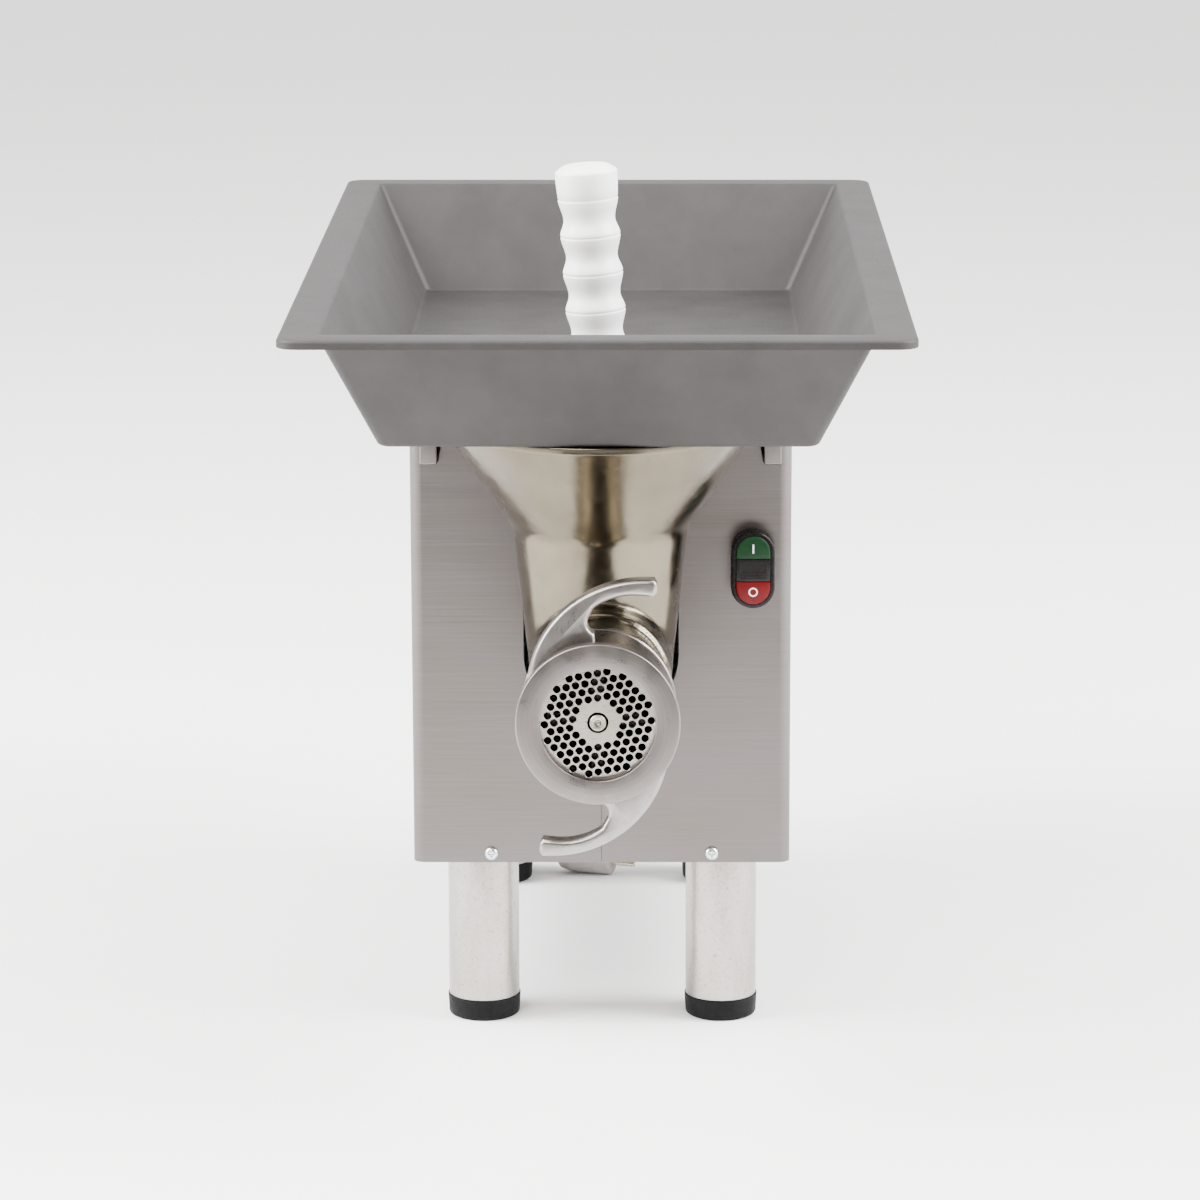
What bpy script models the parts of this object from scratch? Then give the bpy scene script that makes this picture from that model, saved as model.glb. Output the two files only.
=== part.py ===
"""Electric meat grinder: a steel cabinet on four tube legs, with a motor and a two-stage gearbox that turn
the auger of a cast grinding head under a wide feed tray.

Metres. +X is the operator's right, +Y points to the back, +Z is up. The origin is on the floor, under the
middle of the machine without its cord.
"""

import math

import bmesh
import bpy
from mathutils import Vector

# ---------------------------------------------------------------- driving dimensions
GAP = 0.0003  # clearance between pieces that rest on or run in each other
SHEET = 0.0015  # cabinet sheet
ROUND = 32  # sides of a large round piece
SMALL_ROUND = 16  # sides of a small round piece

# cabinet
CABINET_WIDTH = 0.268
CABINET_FRONT = -0.196
CABINET_BACK = 0.227
CABINET_BOTTOM = 0.122
CABINET_TOP = 0.444
BEND_RADIUS = 0.008  # outside radius of the folded front corners
BEND_RETURN = 0.012  # flange behind each folded corner
BASE_THICKNESS = 0.002
PANEL_SCREW_X = 0.0785
PANEL_SCREW_ABOVE_EDGE = 0.0066
SCREW_RADIUS = 0.0025
SCREW_HEAD_RADIUS = 0.0046
VENT_COUNT = 7

# legs
LEG_X = 0.0855
LEG_FRONT_Y = -0.161
LEG_BACK_Y = 0.191
LEG_RADIUS = 0.0254
LEG_WALL = 0.0016
STUD_RADIUS = 0.005
STUD_LENGTH = 0.010
FOOT_SLEEVE = 0.0004  # how far the foot stands out past the tube
FOOT_RADIUS = LEG_RADIUS + FOOT_SLEEVE
FOOT_HEIGHT = 0.0155
FOOT_FLOOR = 0.006  # rubber under the tube

# feed tray
TRAY_WIDTH = 0.424
TRAY_BACK = 0.401
TRAY_LENGTH = 0.782
TRAY_RIM_TOP = 0.530
TRAY_FLOOR_TOP = 0.4485
TRAY_SHEET = 0.002
TRAY_FLANGE = 0.027
TRAY_WALL_RUN = 0.038  # how far a wall leans in from rim to floor
TRAY_LIP = 0.006
TRAY_CORNER = 0.014
TRAY_HOLE_RADIUS = 0.095
COLLAR_DEPTH = 0.010
BRACKET_X = 0.1203
BRACKET_WIDTH = 0.0125
BRACKET_DEPTH = 0.006
BRACKET_BOTTOM = 0.412
NOTCH_MARGIN = 0.0028  # of the panel's notch beside the bracket

# grinding head
AXIS_Z = 0.275  # height of the auger, spindle and motor
THROAT_Y = -0.208
LIP_RADIUS = 0.112
LIP_HEIGHT = 0.0045
FUNNEL_TOP = TRAY_FLOOR_TOP - TRAY_SHEET - GAP
KNEE_Z = 0.370
KNEE_RADIUS = 0.061
THROAT_RADIUS = 0.051  # at the auger's height
HEAD_WALL = 0.006
BARREL_RADIUS = 0.0497
BARREL_SHOULDER_Y = -0.284
NOSE_RADIUS = 0.0462  # the threaded front of the barrel
BORE_RADIUS = 0.0363
BORE_END_Y = -0.166
HUB_RADIUS = 0.036
HUB_END_Y = -0.124
HUB_HOLE_RADIUS = 0.0203

# ring, plate, knife and auger
RING_FRONT = -0.401
RING_RADIUS = 0.055
RING_OPENING = 0.0387
RING_LIP = 0.006
RING_BODY_RADIUS = 0.0515
RING_LENGTH = 0.062
HANDLE_SETBACK = 0.015
HANDLE_THICKNESS = 0.015
PLATE_RADIUS = 0.041
PLATE_THICKNESS = 0.0095
PLATE_HOLE_RADIUS = 0.0023
PLATE_PITCH = 0.0064
PLATE_PATTERN_TURN = math.radians(11.2)
PLATE_PATTERN_INNER = 0.0142
PLATE_PATTERN_OUTER = 0.0358
PLATE_CENTRE_HOLE = 0.0068
KNIFE_CLEARANCE = 0.0023  # to the bore
KNIFE_RADIUS = BORE_RADIUS - KNIFE_CLEARANCE
KNIFE_THICKNESS = 0.008
KNIFE_HUB_RADIUS = 0.0135
KNIFE_SQUARE = 0.0130
AUGER_CLEARANCE = 0.0015  # to the bore
AUGER_RADIUS = BORE_RADIUS - AUGER_CLEARANCE
AUGER_CORE = 0.016
AUGER_PITCH = 0.052
AUGER_COLLAR_RADIUS = 0.020
AUGER_COLLAR_LENGTH = 0.022
STUD_PIN_RADIUS = 0.0056
STUD_PIN_PROUD = 0.0016  # beyond the plate's face
TONGUE_THICKNESS = 0.0094
TONGUE_LENGTH = 0.009

# stomper
STOMPER_LEAN = math.radians(-3.8)  # towards -X at its top
STOMPER_FOOT = (0.011, THROAT_Y, 0.3109)
STOMPER_LENGTH = 0.3125
STOMPER_GRIP_RADIUS = 0.0205
STOMPER_WAIST_RADIUS = 0.0176
STOMPER_GRIP_PITCH = 0.026
STOMPER_GRIPS = 7
STOMPER_PLUNGER_RADIUS = 0.024
STOMPER_PLUNGER_LENGTH = 0.045

# gearbox
MODULE = 0.0025
PINION_TEETH = 12
GEAR_TEETH = 36
BACKLASH = 0.0006  # taken from the width of each tooth
LAY_Z = AXIS_Z - MODULE * (PINION_TEETH + GEAR_TEETH) / 2
GEARBOX_FRONT = -0.122
GEARBOX_COVER_Y = -0.040
GEARBOX_WALL = 0.008
GEARBOX_FRONT_WALL = 0.012
GEARBOX_RADIUS = 0.060
SOCKET_RADIUS = 0.046
SOCKET_FRONT = -0.150
COVER_THICKNESS = 0.014
SPINDLE_RADIUS = 0.015
SPINDLE_BEARING_RADIUS = 0.024
SPINDLE_BEARING_WIDTH = 0.012
SPINDLE_BOSS_LENGTH = 0.030
OUTPUT_GEAR_Y = -0.088
OUTPUT_GEAR_WIDTH = 0.016
LAY_SHAFT_RADIUS = 0.008
LAY_BEARING_RADIUS = 0.016
LAY_BEARING_WIDTH = 0.0084
LAY_GEAR_Y = -0.062
LAY_GEAR_WIDTH = 0.014

# motor
MOTOR_SHAFT_RADIUS = 0.010
MOTOR_RADIUS = 0.078
MOTOR_WALL = 0.006
MOTOR_END = 0.150
MOTOR_BEARING_RADIUS = 0.018
MOTOR_BEARING_WIDTH = 0.0115
CORE_FRONT = 0.010
CORE_BACK = 0.110
STATOR_BORE = 0.045
ROTOR_RADIUS = 0.0443
ROTOR_SIDES = 24
SHIELD_THICKNESS = 0.012
FAN_Y = 0.168
FAN_RADIUS = 0.066
FAN_WIDTH = 0.014
FAN_BLADES = 8
FAN_COVER_END = 0.198
CRADLE_WIDTH = 0.110
CRADLE_PLATE = 0.010
CRADLE_Y = (0.015, 0.095)

# switch
SWITCH_X = 0.1068
SWITCH_Z = 0.338
BEZEL_WIDTH = 0.031
BEZEL_HEIGHT = 0.055
BEZEL_DEPTH = 0.0135
WINDOW_WIDTH = 0.0246
WINDOW_HEIGHT = 0.0496
WINDOW_DEPTH = 0.0100
LENS_HEIGHT = 0.0160
BUTTON_THICKNESS = 0.0062
BUTTON_PROUD = 0.0006
SWITCH_STEM_RADIUS = 0.011
SWITCH_STEM_LENGTH = 0.010
BLOCK_WIDTH = 0.026
BLOCK_HEIGHT = 0.044
BLOCK_DEPTH = 0.036

# run capacitor
CAPACITOR_RADIUS = 0.022
CAPACITOR_LENGTH = 0.085
CAPACITOR_X = 0.098
CAPACITOR_Y = 0.020

# cord
CORD_RADIUS = 0.00375
GLAND_Z = 0.160
GLAND_RADIUS = 0.011
GLAND_THREAD_RADIUS = 0.0077
GLAND_NUT_LENGTH = 0.012
GLAND_TAIL = 0.038
COIL_X = -0.0385
COIL_Y = 0.342
COIL_RADIUS = 0.042  # between its inner and its outer layer of turns
COIL_ROWS = 3.5
COIL_HEIGHT = COIL_ROWS * 0.0076
GLAND_X = COIL_X + COIL_RADIUS - CORD_RADIUS
PLUG_RADIUS = 0.0155
PLUG_TURN = math.radians(-15)
PLUG_TAIL = (-0.0570, 0.2127, 0.0160)


# ---------------------------------------------------------------- tools
def clear_scene():
    for old in list(bpy.data.objects):
        bpy.data.objects.remove(old)


def material(name, colour, roughness, metallic=0.0):
    made = bpy.data.materials.new(name)
    made.use_nodes = True
    shader = made.node_tree.nodes["Principled BSDF"]
    shader.inputs["Base Color"].default_value = (*colour, 1.0)
    shader.inputs["Roughness"].default_value = roughness
    shader.inputs["Metallic"].default_value = metallic
    return made


def placed(bm, name, mat, location=(0, 0, 0), rotation=(0, 0, 0)):
    """Makes an object from a bmesh, with its doubles merged and its faces pointing out."""
    bmesh.ops.remove_doubles(bm, verts=bm.verts, dist=1e-6)
    bmesh.ops.recalc_face_normals(bm, faces=bm.faces)
    mesh = bpy.data.meshes.new(name)
    bm.to_mesh(mesh)
    bm.free()
    mesh.materials.append(mat)
    mesh.shade_smooth()
    mesh.set_sharp_from_angle(angle=math.radians(35))
    made = bpy.data.objects.new(name, mesh)
    bpy.context.scene.collection.objects.link(made)
    made.location = location
    made.rotation_euler = rotation
    return made


def turned(name, outline, mat, location=(0, 0, 0), along="Z", sides=ROUND):
    """A turned piece. The outline is (radius, distance along the axis); it closes on itself off the axis."""
    bm = bmesh.new()
    points = [bm.verts.new((radius, 0, distance)) for radius, distance in outline]
    edges = [bm.edges.new(pair) for pair in zip(points, points[1:])]
    if outline[0][0] > 0 or outline[-1][0] > 0:
        edges.append(bm.edges.new((points[-1], points[0])))
    bmesh.ops.spin(
        bm, geom=points + edges, cent=(0, 0, 0), axis=(0, 0, 1), angle=math.tau, steps=sides, use_merge=True
    )
    for vert in bm.verts:
        x, y, z = vert.co
        vert.co = {"Z": (x, y, z), "Y": (x, z, -y), "X": (z, y, -x)}[along]
    return placed(bm, name, mat, location)


def tube(name, outer, inner, start, length, mat, location, along="Y", sides=ROUND):
    outline = [(inner, start), (outer, start), (outer, start + length), (inner, start + length)]
    return turned(name, outline, mat, location, along, sides)


def rod(name, radius, start, length, mat, location, along="Y", sides=ROUND):
    outline = [(0, start), (radius, start), (radius, start + length), (0, start + length)]
    return turned(name, outline, mat, location, along, sides)


def block(name, low, high, mat, origin=(0, 0, 0)):
    bm = bmesh.new()
    bmesh.ops.create_cube(bm, size=1)
    low, high = Vector(low), Vector(high)
    bmesh.ops.scale(bm, vec=high - low, verts=bm.verts)
    bmesh.ops.translate(bm, vec=(low + high) / 2 - Vector(origin), verts=bm.verts)
    return placed(bm, name, mat, origin)


def extruded(name, outline, depth, mat, location=(0, 0, 0), plane="XZ"):
    """An outline drawn in a plane and pushed along the third axis."""
    lift = {"XZ": lambda u, v: (u, 0, v), "XY": lambda u, v: (u, v, 0)}[plane]
    push = {"XZ": (0, depth, 0), "XY": (0, 0, depth)}[plane]
    bm = bmesh.new()
    face = bm.faces.new([bm.verts.new(lift(u, v)) for u, v in outline])
    grown = bmesh.ops.extrude_face_region(bm, geom=[face])["geom"]
    bmesh.ops.translate(bm, vec=push, verts=[v for v in grown if isinstance(v, bmesh.types.BMVert)])
    return placed(bm, name, mat, location)


def arc(centre, radius, start, end, steps):
    """Points on an arc, in degrees, ends included."""
    angles = [math.radians(start + (end - start) * i / steps) for i in range(steps + 1)]
    return [(centre[0] + radius * math.cos(a), centre[1] + radius * math.sin(a)) for a in angles]


def stadium(width, height, steps=8):
    """An upright outline with half-round ends, centred on the origin."""
    radius = width / 2
    reach = height / 2 - radius
    return arc((0, reach), radius, 0, 180, steps) + arc((0, -reach), radius, 180, 360, steps)


def boolean(target, tool, operation):
    tool.hide_render = True
    tool.display_type = "WIRE"
    step = target.modifiers.new(f"{operation.lower()} {tool.name}", "BOOLEAN")
    step.operation = operation
    step.object = tool
    step.solver = "EXACT"


def cut(target, *tools):
    for tool in tools:
        boolean(target, tool, "DIFFERENCE")


def join(target, *tools):
    for tool in tools:
        boolean(target, tool, "UNION")


def smooth_route(points, steps):
    """A Catmull-Rom curve through the points, as a list of vectors."""
    p = [Vector(q) for q in points]
    p = [2 * p[0] - p[1], *p, 2 * p[-1] - p[-2]]
    route = []
    for a, b, c, d in zip(p, p[1:], p[2:], p[3:]):
        for i in range(steps):
            t = i / steps
            square, cubic = 2 * a - 5 * b + 4 * c - d, 3 * b - a - 3 * c + d
            route.append(0.5 * (2 * b + (c - a) * t + square * t**2 + cubic * t**3))
    return [*route, p[-2]]


def cord_piece(name, points, mat, steps=2):
    curve = bpy.data.curves.new(name, "CURVE")
    curve.dimensions = "3D"
    curve.bevel_depth = CORD_RADIUS
    curve.bevel_resolution = 2
    curve.use_fill_caps = True
    route = smooth_route(points, steps)
    spline = curve.splines.new("POLY")
    spline.points.add(len(route) - 1)
    for point, place in zip(spline.points, route):
        point.co = (*place, 1)
    curve.materials.append(mat)
    made = bpy.data.objects.new(name, curve)
    bpy.context.scene.collection.objects.link(made)
    return made


# ---------------------------------------------------------------- cabinet
def funnel_radius(z, grown=0.0):
    """Outside radius of the head's throat and funnel at a height."""
    if z < KNEE_Z:
        return THROAT_RADIUS + (KNEE_RADIUS - THROAT_RADIUS) * (z - AXIS_Z) / (KNEE_Z - AXIS_Z) + grown
    lip_bottom = FUNNEL_TOP - LIP_HEIGHT
    return KNEE_RADIUS + (LIP_RADIUS - KNEE_RADIUS) * (z - KNEE_Z) / (lip_bottom - KNEE_Z) + grown


def head_clearance(name, grown, mat):
    """A cutter the shape of the funnel and throat, a little larger."""
    lip_bottom = FUNNEL_TOP - LIP_HEIGHT
    outline = [
        (0, AXIS_Z),
        (funnel_radius(AXIS_Z, grown), AXIS_Z),
        (funnel_radius(KNEE_Z, grown), KNEE_Z),
        (LIP_RADIUS + grown, lip_bottom),
        (LIP_RADIUS + grown, TRAY_RIM_TOP),
        (0, TRAY_RIM_TOP),
    ]
    return turned(name, outline[::-1], mat, (0, THROAT_Y, 0))


def front_panel(side, steel):
    """One half of the front, folded back at its outer corner and cut round the head."""
    name = "front_panel_right" if side > 0 else "front_panel_left"
    half = CABINET_WIDTH / 2
    bend = half - BEND_RADIUS
    corner_y = CABINET_FRONT + BEND_RADIUS
    outline = [(GAP / 2, CABINET_FRONT), (bend, CABINET_FRONT)]
    outline += arc((bend, corner_y), BEND_RADIUS, -75, 0, 5)
    outline += [(half, corner_y + BEND_RETURN), (half - SHEET, corner_y + BEND_RETURN)]
    outline += arc((bend, corner_y), BEND_RADIUS - SHEET, 0, -75, 5)
    outline += [(bend, CABINET_FRONT + SHEET), (GAP / 2, CABINET_FRONT + SHEET)]
    outline = [(side * x, y) for x, y in outline]
    height = CABINET_TOP - CABINET_BOTTOM
    panel = extruded(name, outline, height, steel, (0, 0, CABINET_BOTTOM), "XY")
    reach = CABINET_FRONT - SHEET
    slot = arc((0, AXIS_Z), 0.0548, 180, 360, 16) + [(0.0548, AXIS_Z + 0.05), (-0.0548, AXIS_Z + 0.05)]
    slot_cut = extruded(f"{name}_slot_cut", slot, 4 * SHEET, steel, (0, reach, 0))
    funnel_cut = head_clearance(f"{name}_funnel_cut", 0.0010, steel)
    inner = BRACKET_X - BRACKET_WIDTH / 2 - NOTCH_MARGIN
    outer = BRACKET_X + BRACKET_WIDTH / 2 - 0.001
    notch = [
        (inner, CABINET_TOP + 0.01),
        (inner, BRACKET_BOTTOM + 0.014),
        (inner + 0.0024, BRACKET_BOTTOM + 0.001),
        (outer, BRACKET_BOTTOM + 0.001),
        (outer, CABINET_TOP + 0.01),
    ]
    notch = [(side * x, z) for x, z in notch]
    notch_cut = extruded(f"{name}_notch_cut", notch, 4 * SHEET, steel, (0, reach, 0))
    screw_at = (side * PANEL_SCREW_X, reach, CABINET_BOTTOM + PANEL_SCREW_ABOVE_EDGE)
    screw_cut = rod(f"{name}_screw_cut", SCREW_RADIUS + GAP, 0, 4 * SHEET, steel, screw_at, sides=12)
    cut(panel, slot_cut, funnel_cut, notch_cut, screw_cut)
    if side > 0:
        stem_at = (SWITCH_X, reach, SWITCH_Z)
        cut(panel, rod("switch_hole_cut", SWITCH_STEM_RADIUS + GAP, 0, 4 * SHEET, steel, stem_at))
    return panel


def panel_screw(side, steel):
    """A pan-head screw with a cross recess, into the tab behind the panel."""
    name = "panel_screw_right" if side > 0 else "panel_screw_left"
    at = (side * PANEL_SCREW_X, CABINET_FRONT - GAP, CABINET_BOTTOM + PANEL_SCREW_ABOVE_EDGE)
    head = SCREW_HEAD_RADIUS
    outline = [(0, -0.0030), (head * 0.6, -0.0027), (head, -0.0010), (head, 0)]
    outline += [(SCREW_RADIUS, 0), (SCREW_RADIUS, 0.008), (0, 0.008)]
    screw = turned(name, outline, steel, at, "Y", sides=12)
    for i, (wide, tall) in enumerate(((0.0009, 0.0048), (0.0048, 0.0009))):
        low = (at[0] - wide / 2, at[1] - 0.0045, at[2] - tall / 2)
        high = (at[0] + wide / 2, at[1] - 0.0016, at[2] + tall / 2)
        cut(screw, block(f"{name}_recess_{i}", low, high, steel))
    return screw


def cabinet_plate(name, bottom, thickness, steel):
    """A level plate inside the panels, its front corners cut off clear of the folded ones."""
    side = CABINET_WIDTH / 2 - SHEET - GAP
    front = CABINET_FRONT + SHEET + GAP
    back = CABINET_BACK - SHEET - GAP
    corner = BEND_RADIUS - SHEET
    outline = [(-side + corner, front), (side - corner, front), (side, front + corner)]
    outline += [(side, back), (-side, back), (-side, front + corner)]
    return extruded(name, outline, thickness, steel, (0, 0, bottom), "XY")


def cabinet(steel):
    half = CABINET_WIDTH / 2
    side_front = CABINET_FRONT + BEND_RADIUS + BEND_RETURN + GAP
    side_back = CABINET_BACK - SHEET - GAP
    for side, name in ((-1, "left_side_panel"), (1, "right_side_panel")):
        near, far = sorted((side * half, side * (half - SHEET)))
        block(name, (near, side_front, CABINET_BOTTOM), (far, side_back, CABINET_TOP), steel)
    for side in (-1, 1):
        front_panel(side, steel)
        panel_screw(side, steel)

    rear = block(
        "rear_panel", (-half, CABINET_BACK - SHEET, CABINET_BOTTOM), (half, CABINET_BACK, CABINET_TOP), steel
    )
    for i in range(VENT_COUNT):
        z = AXIS_Z - 0.045 + 0.015 * i
        low, high = (-0.060, CABINET_BACK - 3 * SHEET, z), (0.060, CABINET_BACK + SHEET, z + 0.005)
        cut(rear, block(f"rear_vent_{i}", low, high, steel))
    gland_at = (GLAND_X, CABINET_BACK - 3 * SHEET, GLAND_Z)
    gland_hole = GLAND_THREAD_RADIUS + GAP
    cut(rear, rod("gland_hole_cut", gland_hole, 0, 5 * SHEET, steel, gland_at, sides=SMALL_ROUND))

    top = cabinet_plate("top_panel", CABINET_TOP - SHEET, SHEET, steel)
    cut(top, head_clearance("top_funnel_cut", 0.0010, steel))

    base = cabinet_plate("base_plate", CABINET_BOTTOM, BASE_THICKNESS, steel)
    # the two tabs that the panel screws go into
    for side in (-1, 1):
        x = side * PANEL_SCREW_X
        front = CABINET_FRONT + SHEET + GAP
        low = (x - 0.010, front, CABINET_BOTTOM + 0.001)
        high = (x + 0.010, front + 0.004, CABINET_BOTTOM + 0.014)
        join(base, block(f"screw_tab_{side}", low, high, steel))
        hole_at = (x, front - 0.001, CABINET_BOTTOM + PANEL_SCREW_ABOVE_EDGE)
        cut(base, rod(f"screw_tab_hole_{side}", SCREW_RADIUS + GAP, 0, 0.008, steel, hole_at, sides=12))
    for x, y, _ in leg_places():
        at = (x, y, CABINET_BOTTOM - 0.002)
        cut(base, rod(f"stud_hole_{x}_{y}", STUD_RADIUS + GAP, 0, 0.006, steel, at, "Z", 12))


def leg_places():
    for y, end in ((LEG_FRONT_Y, "front"), (LEG_BACK_Y, "rear")):
        for x, side in ((-LEG_X, "left"), (LEG_X, "right")):
            yield x, y, f"{end}_{side}"


def legs(steel, rubber):
    top = CABINET_BOTTOM - GAP
    for x, y, name in leg_places():
        inner = LEG_RADIUS - LEG_WALL
        outline = [
            (0, top + STUD_LENGTH),
            (STUD_RADIUS, top + STUD_LENGTH),
            (STUD_RADIUS, top),
            (LEG_RADIUS, top),
            (LEG_RADIUS, FOOT_FLOOR + GAP),
            (inner, FOOT_FLOOR + GAP),
            (inner, top - 0.004),
            (0, top - 0.004),
        ]
        turned(f"leg_{name}", outline, steel, (x, y, 0), sides=24)
        socket = LEG_RADIUS + GAP
        plug = inner - GAP
        outline = [
            (0, 0),
            (FOOT_RADIUS - 0.0022, 0),
            (FOOT_RADIUS, 0.0026),
            (FOOT_RADIUS + 0.0004, FOOT_HEIGHT),
            (socket, FOOT_HEIGHT),
            (socket, FOOT_FLOOR),
            (plug, FOOT_FLOOR),
            (plug, FOOT_HEIGHT - 0.002),
            (0, FOOT_HEIGHT - 0.002),
        ]
        turned(f"foot_{name}", outline, rubber, (x, y, 0), sides=24)


# ---------------------------------------------------------------- tray
def rounded_rectangle(low, high, radius, steps=3):
    corners = (
        ((high[0] - radius, high[1] - radius), 0),
        ((low[0] + radius, high[1] - radius), 90),
        ((low[0] + radius, low[1] + radius), 180),
        ((high[0] - radius, low[1] + radius), 270),
    )
    return [point for centre, start in corners for point in arc(centre, radius, start, start + 90, steps)]


def feed_tray(steel):
    """One folded sheet: floor, four leaning walls, a flat rim and a lip that turns down."""
    half, back, front = TRAY_WIDTH / 2, TRAY_BACK, TRAY_BACK - TRAY_LENGTH
    t = TRAY_SHEET
    wall = TRAY_FLANGE
    floor = TRAY_FLANGE + TRAY_WALL_RUN
    under = TRAY_RIM_TOP - t
    sections = [  # inset from the rim's edge, height, corner radius
        (floor, TRAY_FLOOR_TOP, 0.004),
        (wall, TRAY_RIM_TOP, 0.003),
        (0.0012, TRAY_RIM_TOP, TRAY_CORNER - 0.0012),
        (0, TRAY_RIM_TOP - 0.0012, TRAY_CORNER),
        (0, TRAY_RIM_TOP - TRAY_LIP, TRAY_CORNER),
        (t, TRAY_RIM_TOP - TRAY_LIP, TRAY_CORNER - t),
        (t, under, TRAY_CORNER - t),
        (wall - t, under, 0.005),
        (floor - t - 0.0005, TRAY_FLOOR_TOP - t + 0.004, 0.006),
        (floor - t + 0.004, TRAY_FLOOR_TOP - t, 0.003),
    ]
    bm = bmesh.new()
    loops = []
    for inset, z, radius in sections:
        low, high = (-half + inset, front + inset), (half - inset, back - inset)
        loops.append([bm.verts.new((x, y, z)) for x, y in rounded_rectangle(low, high, radius)])
    count = len(loops[0])
    for below, above in zip(loops, loops[1:]):
        for i in range(count):
            bm.faces.new((below[i], below[(i + 1) % count], above[(i + 1) % count], above[i]))
    bm.faces.new(loops[0])
    bm.faces.new(loops[-1])
    tray = placed(bm, "feed_tray", steel)
    collar_low = TRAY_FLOOR_TOP - t - COLLAR_DEPTH
    collar = tube(
        "tray_collar", TRAY_HOLE_RADIUS, TRAY_HOLE_RADIUS - t, collar_low, COLLAR_DEPTH + t / 2, steel,
        (0, THROAT_Y, 0), "Z",
    )
    join(tray, collar)
    hole_at = (0, THROAT_Y, 0)
    hole = rod("tray_hole_cut", TRAY_HOLE_RADIUS - t, TRAY_FLOOR_TOP - 0.02, 0.04, steel, hole_at, "Z")
    cut(tray, hole)


def tray_brackets(steel):
    """The hooks under the tray that stand against the cabinet's front corners."""
    top = TRAY_FLOOR_TOP - TRAY_SHEET - GAP
    front = CABINET_FRONT - GAP - BRACKET_DEPTH
    for side, name in ((-1, "tray_bracket_left"), (1, "tray_bracket_right")):
        near, far = sorted((side * (BRACKET_X - BRACKET_WIDTH / 2), side * (BRACKET_X + BRACKET_WIDTH / 2)))
        bracket = block(name, (near, front, BRACKET_BOTTOM), (far, CABINET_FRONT - GAP, top), steel)
        edge = bracket.modifiers.new("edges", "BEVEL")
        edge.width = 0.0008
        edge.segments = 1


def stomper(plastic):
    """The pusher: a grip of rounded finger grooves over a short thick plunger."""
    outline = [(0, 0), (STOMPER_PLUNGER_RADIUS - 0.002, 0), (STOMPER_PLUNGER_RADIUS, 0.002)]
    outline.append((STOMPER_PLUNGER_RADIUS, STOMPER_PLUNGER_LENGTH))
    outline.append((STOMPER_WAIST_RADIUS, STOMPER_PLUNGER_LENGTH + 0.006))
    grips_start = STOMPER_LENGTH - 0.022 - STOMPER_GRIPS * STOMPER_GRIP_PITCH
    outline.append((STOMPER_WAIST_RADIUS, grips_start))
    for i in range(STOMPER_GRIPS):
        ridge = grips_start + STOMPER_GRIP_PITCH * (i + 1)
        outline.append((STOMPER_WAIST_RADIUS, ridge - 0.62 * STOMPER_GRIP_PITCH))
        outline.append((STOMPER_WAIST_RADIUS + 0.0006, ridge - 0.30 * STOMPER_GRIP_PITCH))
        outline.append((STOMPER_GRIP_RADIUS, ridge))
    outline.append((STOMPER_GRIP_RADIUS + 0.001, STOMPER_LENGTH - 0.006))
    outline.append((STOMPER_GRIP_RADIUS - 0.003, STOMPER_LENGTH))
    outline.append((0, STOMPER_LENGTH + 0.0015))
    made = turned("stomper", outline, plastic, STOMPER_FOOT, sides=SMALL_ROUND)
    made.rotation_euler = (0, STOMPER_LEAN, 0)


# ---------------------------------------------------------------- grinding head
def grinder_head(casting):
    """Funnel, throat, barrel and rear hub in one casting, bored through."""
    lip_bottom = FUNNEL_TOP - LIP_HEIGHT
    wall = HEAD_WALL
    dome = [(THROAT_RADIUS * math.sin(a), AXIS_Z - THROAT_RADIUS * math.cos(a)) for a in (0, 0.4, 0.8, 1.2)]
    outline = dome + [
        (THROAT_RADIUS, AXIS_Z),
        (KNEE_RADIUS, KNEE_Z),
        (LIP_RADIUS, lip_bottom),
        (LIP_RADIUS, FUNNEL_TOP - 0.001),
        (LIP_RADIUS - 0.001, FUNNEL_TOP),
        (0, FUNNEL_TOP),
    ]
    head = turned("grinder_head", outline, casting, (0, THROAT_Y, 0))
    inside = [
        (0, AXIS_Z),
        (THROAT_RADIUS - wall, AXIS_Z),
        (KNEE_RADIUS - wall, KNEE_Z),
        (LIP_RADIUS - wall, lip_bottom + 0.001),
        (LIP_RADIUS - wall, FUNNEL_TOP + 0.02),
        (0, FUNNEL_TOP + 0.02),
    ]
    inside_cut = turned("head_funnel_bore", inside, casting, (0, THROAT_Y, 0))
    nose_front = RING_FRONT + RING_LIP + 0.0010
    hub_length = HUB_END_Y - nose_front
    axis = (0, nose_front, AXIS_Z)
    barrel_end = THROAT_Y + 0.040
    outline = [
        (0, 0),
        (NOSE_RADIUS, 0),
        (NOSE_RADIUS, BARREL_SHOULDER_Y - nose_front),
        (BARREL_RADIUS, BARREL_SHOULDER_Y - nose_front + 0.001),
        (BARREL_RADIUS, barrel_end - nose_front),
        (HUB_RADIUS, barrel_end - nose_front + 0.004),
        (HUB_RADIUS, hub_length),
        (0, hub_length),
    ]
    join(head, turned("head_barrel", outline, casting, axis, "Y"))
    seat = PLATE_THICKNESS + 2 * GAP - 0.0010
    outline = [
        (0, -0.01),
        (PLATE_RADIUS + GAP, -0.01),
        (PLATE_RADIUS + GAP, seat),
        (BORE_RADIUS, seat),
        (BORE_RADIUS, BORE_END_Y - nose_front),
        (HUB_HOLE_RADIUS, BORE_END_Y - nose_front),
        (HUB_HOLE_RADIUS, hub_length + 0.01),
        (0, hub_length + 0.01),
    ]
    cut(head, inside_cut, turned("head_barrel_bore", outline, casting, axis, "Y"))


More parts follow.
